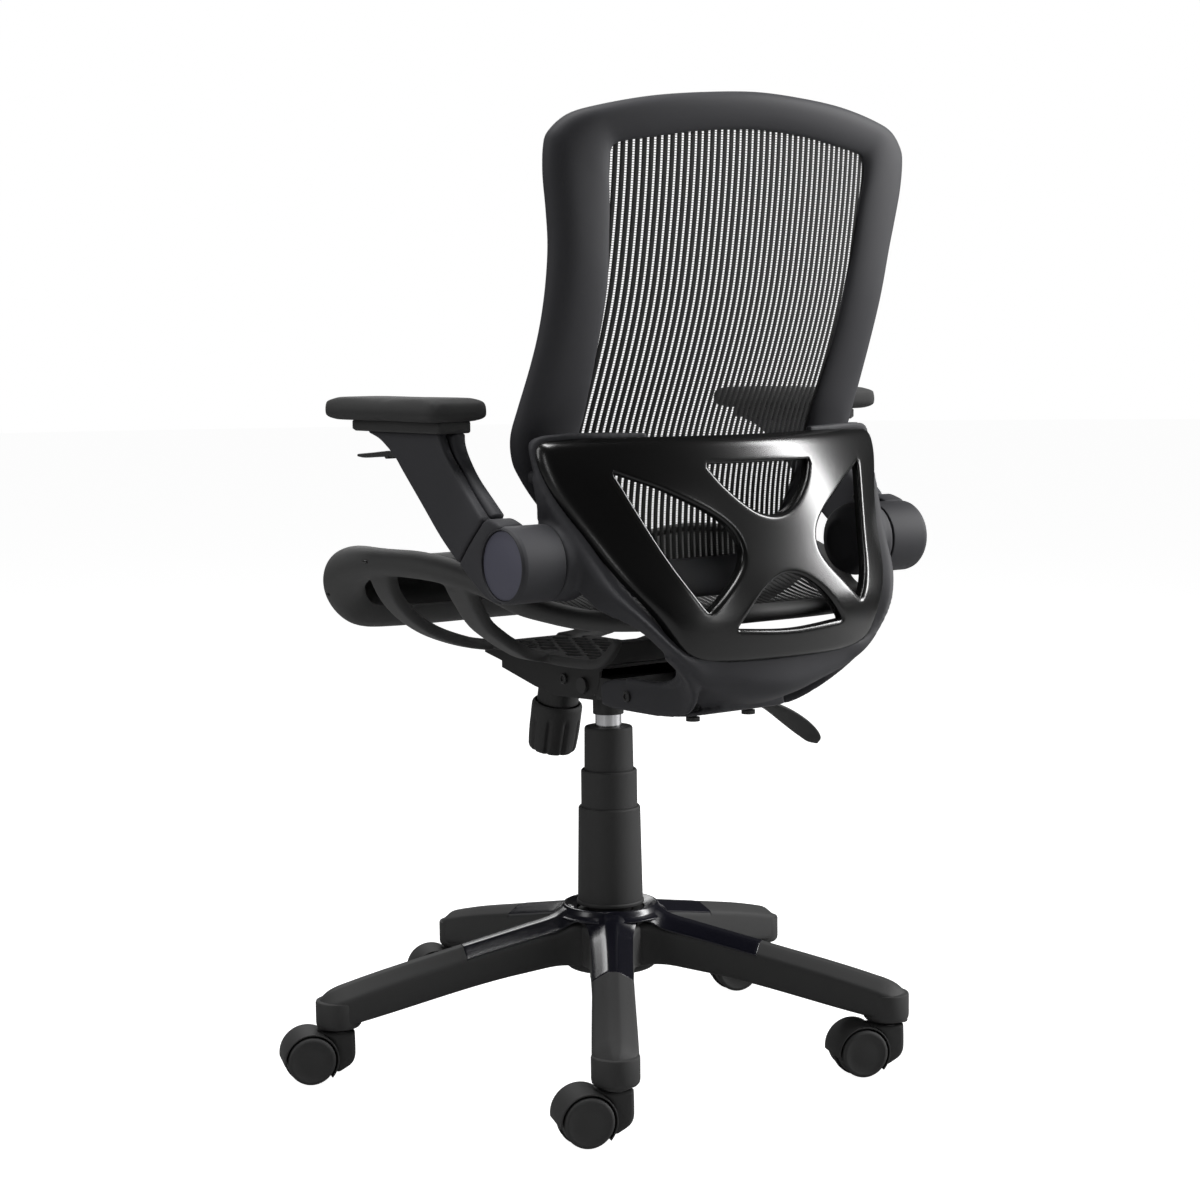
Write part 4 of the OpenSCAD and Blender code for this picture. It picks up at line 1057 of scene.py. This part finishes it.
class CHAIR_OT_bracket(bpy.types.Operator):
    """Moulded bracket: strip round the cover, bowl under it, side walls and the shoulders that carry the arms"""
    bl_idname = "chair.bracket"
    bl_label = "Back bracket"

    def execute(self, context):
        strips = (STRIP_A, STRIP_B, STRIP_C)
        a, b, c = (spline(np.vstack([s, np.array(s[-2::-1]) * (-1, 1, 1)]), 300) for s in strips)
        # across the strip a soft corner at the crease
        u = np.linspace(0, 1, 9)[None, :, None]
        m1, m2 = a + (b - a) * 0.62, b + (c - b) * 0.30
        run1 = a[:, None] + (m1 - a)[:, None] * u[:, :-1]
        bend = (1 - u) ** 2 * m1[:, None] + 2 * u * (1 - u) * b[:, None] + u**2 * m2[:, None]
        run2 = m2[:, None] + (c - m2)[:, None] * u[:, 1:]
        outer = np.concatenate([run1, bend, run2], 1)
        along, across = np.gradient(outer, axis=0), np.gradient(outer, axis=1)
        normal = np.cross(along, across)
        normal /= np.linalg.norm(normal, axis=2, keepdims=True) + 1e-9
        centre = np.array([0, 150.0, 540.0])
        flip = np.sign((normal * (outer - centre)).sum(2, keepdims=True).mean())
        inner = outer - normal * flip * 5.5
        strip = skin(np.concatenate([outer, inner[:, ::-1]], 1))
        # shoulders: round bosses whose radius swells towards the strip
        shoulder = solid_lathe([(0, 168), (22, 168), (34, 174), (38.5, 186), (37.4, 198), (37, 206), (37, 209.6),
                                (0, 209.6)],
                               96)
        shoulder = moved(shoulder, TO_X, (0, ARM_Y, ARM_Z))
        gusset = tube([(201, 176, 592), (207, 180, 610), (211, 176, 636)], (13, 9, 7), (6, 6, 5), (0, 1, 0), 20, 20)
        boss = moved(solid_lathe([(0, 140), (7, 140), (7, 188), (0, 188)], 40), TO_Y, (192, 0, 634))
        floor = tube([(0, 72, 393.5), (0, 140, 393.2), (0, 190, 394.5), (0, 215, 398), (0, 240, 404)],
                     (62, 62, 60, 54, 42), (3, 3, 3, 3, 3), (1, 0, 0), 60, 60, 9.0)
        wall = tube([(63.5, 76, 402), (63.5, 100, 405), (63.5, 150, 406), (64.5, 184, 408), (68, 214, 414),
                     (79, 240, 427), (93, 256, 440), (110, 264, 454), (124, 266, 466)],
                     (3, 3, 3, 3, 3.4, 4, 4.4, 4.4, 4),
                    (11, 15.5, 16, 16.5, 17, 14.5, 12, 11, 8), (1, 0.0001, 0), 110, 36, 5.0)
        lip = tube([(63.5, 120, 421), (63.5, 150, 422), (64.5, 182, 424), (74, 214, 433.5), (89, 236, 446),
                    (106, 251, 460), (130, 260.5, 479), (152, 257, 495)], 4.2, 3.2, (1, 0, 0.3), 80, 20, 2.4)
        body = join(strip, floor, *[both_sides(s) for s in (shoulder, gusset, boss, wall, lip)])
        piece = build("bracket_moulding", body, "satin_plastic", "seat", ["back_bracket"], sharp=0)
        melted(piece, voxel=2.1, rounds=6)
        return {"FINISHED"}


# ---------------------------------------------------------------- arms

HUB_X1 = 259.3
SLIDE = np.array([-0.735, 0.678])
CROSS = np.array([-0.678, -0.735])


def arm_at(t, w):
    """Point (y, z): t along the arm's slide from the hub's axis, w across it towards the front."""
    return tuple(np.array([ARM_Y, ARM_Z]) + SLIDE * t + CROSS * w)


class CHAIR_OT_arms(bpy.types.Operator):
    """Arm hubs with their discs, posts, pad plates and trigger levers"""
    bl_idname = "chair.arms"
    bl_label = "Armrests"

    def execute(self, context):
        hub = lathe(eased([(12.2, 210.1), (36.4, 210.1), (37, 211), (37, 253.5), (36.2, 257), (34.6, 259.2),
                           (33.5, 259.2), (33.5, 254.6), (12.2, 254.6)], 0.6), 144)
        hub = moved(hub, TO_X, (0, ARM_Y, ARM_Z))
        disc = solid_lathe([(0, 255), (32.6, 255), (33.0, 255.6), (33.0, 256.6), (32.5, 257.2), (27, 258.0),
                            (16, 259.0), (0, 259.3)], 144)
        disc = moved(disc, TO_X, (0, ARM_Y, ARM_Z))
        arc = [(ARM_Y + 33.9 * math.cos(a), ARM_Z + 33.9 * math.sin(a)) for a in np.linspace(-1.66, -4.70, 25)]
        seam = [(110, 551.5), (129, 572), (152.5, 594)]
        neck_line = loop_of(arc, [arc[-1], (182.5, 592), (166, 597.2), (158, 597)], [(158, 597), (152.5, 594)],
                            seam[::-1], [(110, 551.5), (128, 538.5), (150, 524.5), (168, 518.4), (180.4, 517.8)],
                            [(180.4, 517.8), arc[0]], step=2.5)
        neck = slab(neck_line, 231.6, HUB_X1, 0, rim=3.0, spacing=8)
        tongue_line = straight_loop([arm_at(20, -4), arm_at(108, -4), arm_at(108, 16), arm_at(20, 16)], step=5)
        tongue = slab(tongue_line, 239.4, 249.2, 0, rim=1, spacing=12)
        front_edge = [(106.6, 553), (76.6, 576.1), (44.2, 606), (11.1, 636.4), (-5.6, 651.8), (-31.5, 667.2),
                      (-54, 674)]
        foot = [(151.4, 595.4), (127.8, 573.4), (108.4, 552.6), (106.6, 553)]

        def blade(rear, low, high, rim):
            return slab(loop_of(front_edge, [(-54, 674), (-54, 677)], [(-54, 677), (rear[0][0], 677)], rear,
                                [rear[-1], foot[0]], foot[:3], foot[2:], step=2.4), low, high, 0, rim=rim,
                                spacing=8)

        outer = blade([(78, 677), (79.5, 672), (88.5, 657), (105.5, 640), (127, 619), (150, 598.4)], 248.9, HUB_X1,
                      3.0)
        inner = blade([(88, 677), (89, 665), (98, 650), (113.5, 633), (136.8, 614.1), (154, 600.4)], 231.6, 247.7,
                      6.5)
        core = blade([(76, 677), (77.5, 670), (86, 655), (103, 638), (124, 617), (148, 597)], 244, 252, 0.6)
        plate_line = straight_loop([(231, -68), (269, -68), (269, 95), (231, 95)], step=4)
        plate = slab(plate_line, 676, 688.3, 2, rim=2.4, spacing=10)
        lever = tube([(245.3, -14, 653), (245.3, -38, 652.5), (245.3, -60, 651), (245.3, -78, 649.8),
                      (245.3, -91, 649.6)],
                     (7, 7, 7, 7, 4.5), (3.4, 3.0, 2.6, 2.4, 1.6), (1, 0, 0), 40, 24, 3.2)
        pin = moved(solid_lathe([(0, -7), (4, -7), (4, 7), (0, 7)], 32), TO_X, (245.3, -30, 652))
        for side, sign in SIDES:
            def placed(surface):
                return surface if sign > 0 else moved(surface, flip_x=True)
            build(f"arm_hub_shell_{side}", placed(join(hub, neck, tongue)), "satin_plastic", f"arm_{side}",
                  [f"arm_hub_{side}"])
            build(f"arm_disc_{side}", placed(disc), "cap_metal", f"arm_{side}", [f"arm_cap_{side}"])
            build(f"arm_post_shell_{side}", placed(join(outer, inner, core)), "satin_plastic", f"arm_top_{side}",
                  [f"arm_post_{side}"])
            build(f"arm_pad_plate_{side}", placed(plate), "knob_plastic", f"arm_top_{side}",
                  [f"arm_plate_{side}"])
            build(f"arm_trigger_{side}", placed(join(lever, pin)), "knob_plastic", f"arm_trigger_{side}",
                  [f"arm_lever_{side}"])
        return {"FINISHED"}


# a pad's inner edge, its middle along the arm, its underside, and its corner radius in plan
PAD_X0, PAD_Y, PAD_Z, PAD_CORNER = 218.8, 8.5, 689.6, 13.0


def even(piece, voxel=0.0042):
    """Gives the piece a mesh of even faces, voxel metres wide."""
    remesh = piece.modifiers.new("Remesh", "REMESH")
    remesh.mode, remesh.voxel_size = "VOXEL", voxel
    apply_modifiers(piece)


def swell(piece, pressure, cap, frames=20):
    """Cloth with inside pressure on the piece; no point moves further than cap."""
    start = np.empty(len(piece.data.vertices) * 3, np.float32)
    piece.data.vertices.foreach_get("co", start)
    soft = piece.modifiers.new("Cloth", "CLOTH")
    soft.settings.use_pressure = True
    soft.settings.uniform_pressure_force = pressure
    soft.settings.effector_weights.gravity = 0
    soft.settings.tension_stiffness = soft.settings.compression_stiffness = 25
    scene = bpy.context.scene
    for f in range(1, frames + 1):
        scene.frame_set(f)
    apply_modifiers(piece)
    scene.frame_set(1)
    end = np.empty_like(start)
    piece.data.vertices.foreach_get("co", end)
    step = (end - start).reshape(-1, 3)
    far = np.linalg.norm(step, axis=1, keepdims=True)
    step *= np.minimum(1, cap / np.maximum(far, 1e-9))
    piece.data.vertices.foreach_set("co", (start.reshape(-1, 3) + step).ravel())
    piece.data.update()


class CHAIR_OT_pads(bpy.types.Operator):
    """Soft arm pads, swollen a little by a cloth simulation"""
    bl_idname = "chair.pads"
    bl_label = "Arm pads"

    def execute(self, context):
        sizes = bpy.context.scene.chair_sizes
        half_l, half_w = sizes.pad_length / MM / 2, sizes.pad_width / MM / 2
        turn = np.linspace(0, 2 * np.pi, 96, endpoint=False)
        # block with round corners in plan, drawn in towards its top and bottom edges
        rise = np.array([0.0, 0.0, 0.5, 1.8, 5.0, 9.5, 13.4, 16.2, 17.8, 18.4, 18.4])
        inset = np.array([8.0, 2.6, 1.0, 0.2, 0.0, 0.0, 0.4, 1.6, 3.8, 7.4, 11.5])
        c, s = np.cos(turn), np.sin(turn)
        corner = np.maximum(PAD_CORNER - inset, 1.5)[:, None]
        x = np.sign(c) * (half_w - 1.0 - PAD_CORNER) + corner * c
        y = np.sign(s) * (half_l - 1.0 - PAD_CORNER) + corner * s
        z = PAD_Z + rise[:, None] + 0 * x
        right_pad = skin(np.stack([x + PAD_X0 + half_w, y + PAD_Y, z], -1))
        for side, sign in SIDES:
            body = right_pad if sign > 0 else moved(right_pad, flip_x=True)
            piece = build(f"pad_{side}", body, "pad_skin", f"arm_top_{side}", [f"arm_pad_{side}"], sharp=0)
            even(piece)
            swell(piece, sizes.pad_pressure, sizes.pad_swell)
            finer = piece.modifiers.new("Finer", "SUBSURF")
            finer.levels = finer.render_levels = 1
            finer.subdivision_type = "CATMULL_CLARK"
            apply_modifiers(piece)
            if not piece.data.materials:
                piece.data.materials.append(finish("pad_skin"))
        return {"FINISHED"}


# ---------------------------------------------------------------- stage

VIEW_ANGLE = math.radians(36.4266)
VIEW_PITCH = 0.1093
VIEW_ROLL = 0.0118
CAMERA_AT = Vector((1.4981, 2.0174, 0.7621))


LENS, SENSOR, LENS_SHIFT = 71.12, 36.0, 0.0020
# the floor's own tone, what the camera sees of it besides, and the world's brightness to the camera and as light
FLOOR_TONE, FLOOR_GLOW = 0.42, 0.96
WORLD_SEEN, WORLD_LIGHT = 1.0, 0.035
# name, place as right, towards the camera and up, height that it aims at, width, height, power in watts
LIGHTS = (("key_right", (2.2, -0.3, 1.6), 0.6, 0.55, 1.8, 85), ("fill_left", (-2.1, 0.6, 1.5), 0.5, 0.45, 1.6, 15),
          ("top", (-0.3, 0.3, 2.6), 0.5, 0.8, 0.8, 42), ("back_rim", (-0.6, -2.3, 1.8), 0.7, 1.2, 1.2, 22),
          ("strip_left", (-1.5, 2.0, 0.9), 0.3, 0.10, 1.3, 5), ("strip_right", (1.6, 1.6, 0.9), 0.3, 0.12, 1.3, 7))


def soft_light(name, at, target, width, height, power):
    lamp = bpy.data.lights.new(name, "AREA")
    lamp.shape = "RECTANGLE"
    lamp.size, lamp.size_y, lamp.energy = width, height, power
    box = bpy.data.objects.new(name, lamp)
    box.location = at
    box.rotation_euler = (Vector(target) - Vector(at)).to_track_quat("-Z", "Y").to_euler()
    bpy.context.scene.collection.objects.link(box)


class CHAIR_OT_stage(bpy.types.Operator):
    """Pale floor, soft lights and the camera"""
    bl_idname = "chair.stage"
    bl_label = "Stage"

    def execute(self, context):
        scene = context.scene
        across = np.array([-math.cos(VIEW_ANGLE), math.sin(VIEW_ANGLE), 0])
        towards = np.array([math.sin(VIEW_ANGLE), math.cos(VIEW_ANGLE), 0])
        up = np.array([0, 0, 1.0])
        ahead = -towards * math.cos(VIEW_PITCH) - up * math.sin(VIEW_PITCH)
        over = -towards * math.sin(VIEW_PITCH) + up * math.cos(VIEW_PITCH)
        right = across * math.cos(VIEW_ROLL) - over * math.sin(VIEW_ROLL)
        top = across * math.sin(VIEW_ROLL) + over * math.cos(VIEW_ROLL)
        lens = bpy.data.cameras.new("camera")
        lens.lens, lens.sensor_width, lens.shift_y = LENS, SENSOR, LENS_SHIFT
        camera = bpy.data.objects.new("camera", lens)
        turned = Matrix(np.column_stack([right, top, -ahead]).tolist()).to_4x4()
        camera.matrix_world = Matrix.Translation(CAMERA_AT) @ turned
        scene.collection.objects.link(camera)
        scene.camera = camera

        turn = np.linspace(0, 2 * np.pi, 96, endpoint=False)
        radius = np.array([0.001, 1, 3, 8, 20])[:, None]
        p = np.stack([radius * np.cos(turn), radius * np.sin(turn), np.zeros((5, 96)) - 0.0003], -1)
        mesh = bpy.data.meshes.new("floor")
        i, j = np.arange(4)[:, None], np.arange(96)[None]
        faces = np.stack([i * 96 + j, (i + 1) * 96 + j, (i + 1) * 96 + (j + 1) % 96, i * 96 + (j + 1) % 96], -1)
        mesh.from_pydata(p.reshape(-1, 3).tolist(), [], faces.reshape(-1, 4).tolist())
        floor = bpy.data.objects.new("floor", mesh)
        scene.collection.objects.link(floor)
        pale, tree, shader, coords = new_finish("floor_white", (FLOOR_TONE,) * 3, 0.8)
        wear(tree, coords, shader, 0.7, 0.05, 2.0)
        shader.inputs["Emission Color"].default_value = (1, 1, 1, 1)
        seen = add_node(tree, "ShaderNodeLightPath")
        glow = add_node(tree, "ShaderNodeMath", operation="MULTIPLY")
        glow.inputs[1].default_value = FLOOR_GLOW
        wire(tree, seen, glow, 0, 0)
        wire(tree, glow, shader, 0, "Emission Strength")
        shader.inputs["Specular IOR Level"].default_value = 0.1
        mesh.materials.append(pale)

        world = bpy.data.worlds.new("studio")
        scene.world = world
        world.use_nodes = True
        tree = world.node_tree
        seen, lit = tree.nodes["Background"], add_node(tree, "ShaderNodeBackground")
        for shade, strength in ((seen, WORLD_SEEN), (lit, WORLD_LIGHT)):
            shade.inputs["Color"].default_value = (1, 1, 1, 1)
            shade.inputs["Strength"].default_value = strength
        ray, mix = add_node(tree, "ShaderNodeLightPath"), add_node(tree, "ShaderNodeMixShader")
        tree.links.new(ray.outputs["Is Camera Ray"], mix.inputs[0])
        tree.links.new(lit.outputs[0], mix.inputs[1])
        tree.links.new(seen.outputs[0], mix.inputs[2])
        tree.links.new(mix.outputs[0], tree.nodes["World Output"].inputs[0])
        scene.view_settings.view_transform = "Standard"

        for name, (r, t, z), aim, width, height, power in LIGHTS:
            soft_light(name, tuple(across * r + towards * t + up * z), (0, 0, aim), width, height, power)
        return {"FINISHED"}


# ---------------------------------------------------------------- add-on

class ChairSizes(bpy.types.PropertyGroup):
    band_pitch: FloatProperty(name="Band pitch", description="From one knitted band to the next", default=0.0075,
                              min=0.004, max=0.02, precision=5, unit="LENGTH")
    band_gap: FloatProperty(name="Band gap", description="Open slit between two bands", default=0.0023, min=0.001,
                            max=0.01, precision=5, unit="LENGTH")
    thread_pitch: FloatProperty(name="Thread pitch", description="From one cross thread to the next",
                                default=0.0024, min=0.001, max=0.01, precision=5, unit="LENGTH")
    thread_width: FloatProperty(name="Thread width", description="Thickness of a cross thread", default=0.0008,
                                min=0.0003, max=0.003, precision=5, unit="LENGTH")
    cover_depth: FloatProperty(name="Rim depth", description="Depth of the lumbar cover's inner walls",
                               default=0.011, min=0.005, max=0.02, unit="LENGTH")
    pad_length: FloatProperty(name="Pad length", description="Length of an arm pad", default=0.215, unit="LENGTH")
    pad_width: FloatProperty(name="Pad width", description="Width of an arm pad", default=0.072, unit="LENGTH")
    pad_swell: FloatProperty(name="Pad swell", description="Furthest that the pad's skin swells", default=0.0024,
                             unit="LENGTH")
    pad_pressure: FloatProperty(name="Pad pressure", description="Inside pressure of the pads' simulation",
                                default=4.0)


class ChairColours(bpy.types.PropertyGroup):
    satin_depth: FloatProperty(name="Satin tone", description="Multiplies the satin plastics' base colour",
                               default=1.0, min=0.1, max=10)
    cloth: FloatVectorProperty(name="Mesh", description="Colour of the mesh", subtype="COLOR", size=3,
                               default=(0.012, 0.012, 0.013), min=0, max=1)
    disc: FloatVectorProperty(name="Hub disc", description="Colour of the discs on the arm hubs", subtype="COLOR",
                              size=3, default=(0.070, 0.072, 0.100), min=0, max=1)


STEPS = ("base", "casters", "column", "mechanism", "seat_frame", "seat_mesh", "back_frame", "back_mesh", "bracket",
         "lumbar_cover", "arms", "pads", "stage")


class CHAIR_PT_panel(bpy.types.Panel):
    bl_idname = "CHAIR_PT_panel"
    bl_label = "Office chair"
    bl_space_type = "VIEW_3D"
    bl_region_type = "UI"
    bl_category = "Chair"

    def draw(self, context):
        column = self.layout.column(align=True)
        for group in (context.scene.chair_sizes, context.scene.chair_colours):
            for key in group.__annotations__:
                column.prop(group, key)
        for step in STEPS:
            column.operator("chair." + step)


CLASSES = (ChairSizes, ChairColours, CHAIR_OT_base, CHAIR_OT_casters, CHAIR_OT_column, CHAIR_OT_mechanism,
           CHAIR_OT_seat_frame, CHAIR_OT_seat_mesh, CHAIR_OT_back_frame, CHAIR_OT_back_mesh, CHAIR_OT_bracket,
           CHAIR_OT_lumbar_cover, CHAIR_OT_arms, CHAIR_OT_pads, CHAIR_OT_stage, CHAIR_PT_panel)


def register():
    for cls in CLASSES:
        bpy.utils.register_class(cls)
    bpy.types.Scene.chair_sizes = PointerProperty(type=ChairSizes)
    bpy.types.Scene.chair_colours = PointerProperty(type=ChairColours)


def unregister():
    del bpy.types.Scene.chair_colours
    del bpy.types.Scene.chair_sizes
    for cls in reversed(CLASSES):
        bpy.utils.unregister_class(cls)


def main():
    register()
    for step in STEPS:
        getattr(bpy.ops.chair, step)()


if __name__ == "__main__":
    main()
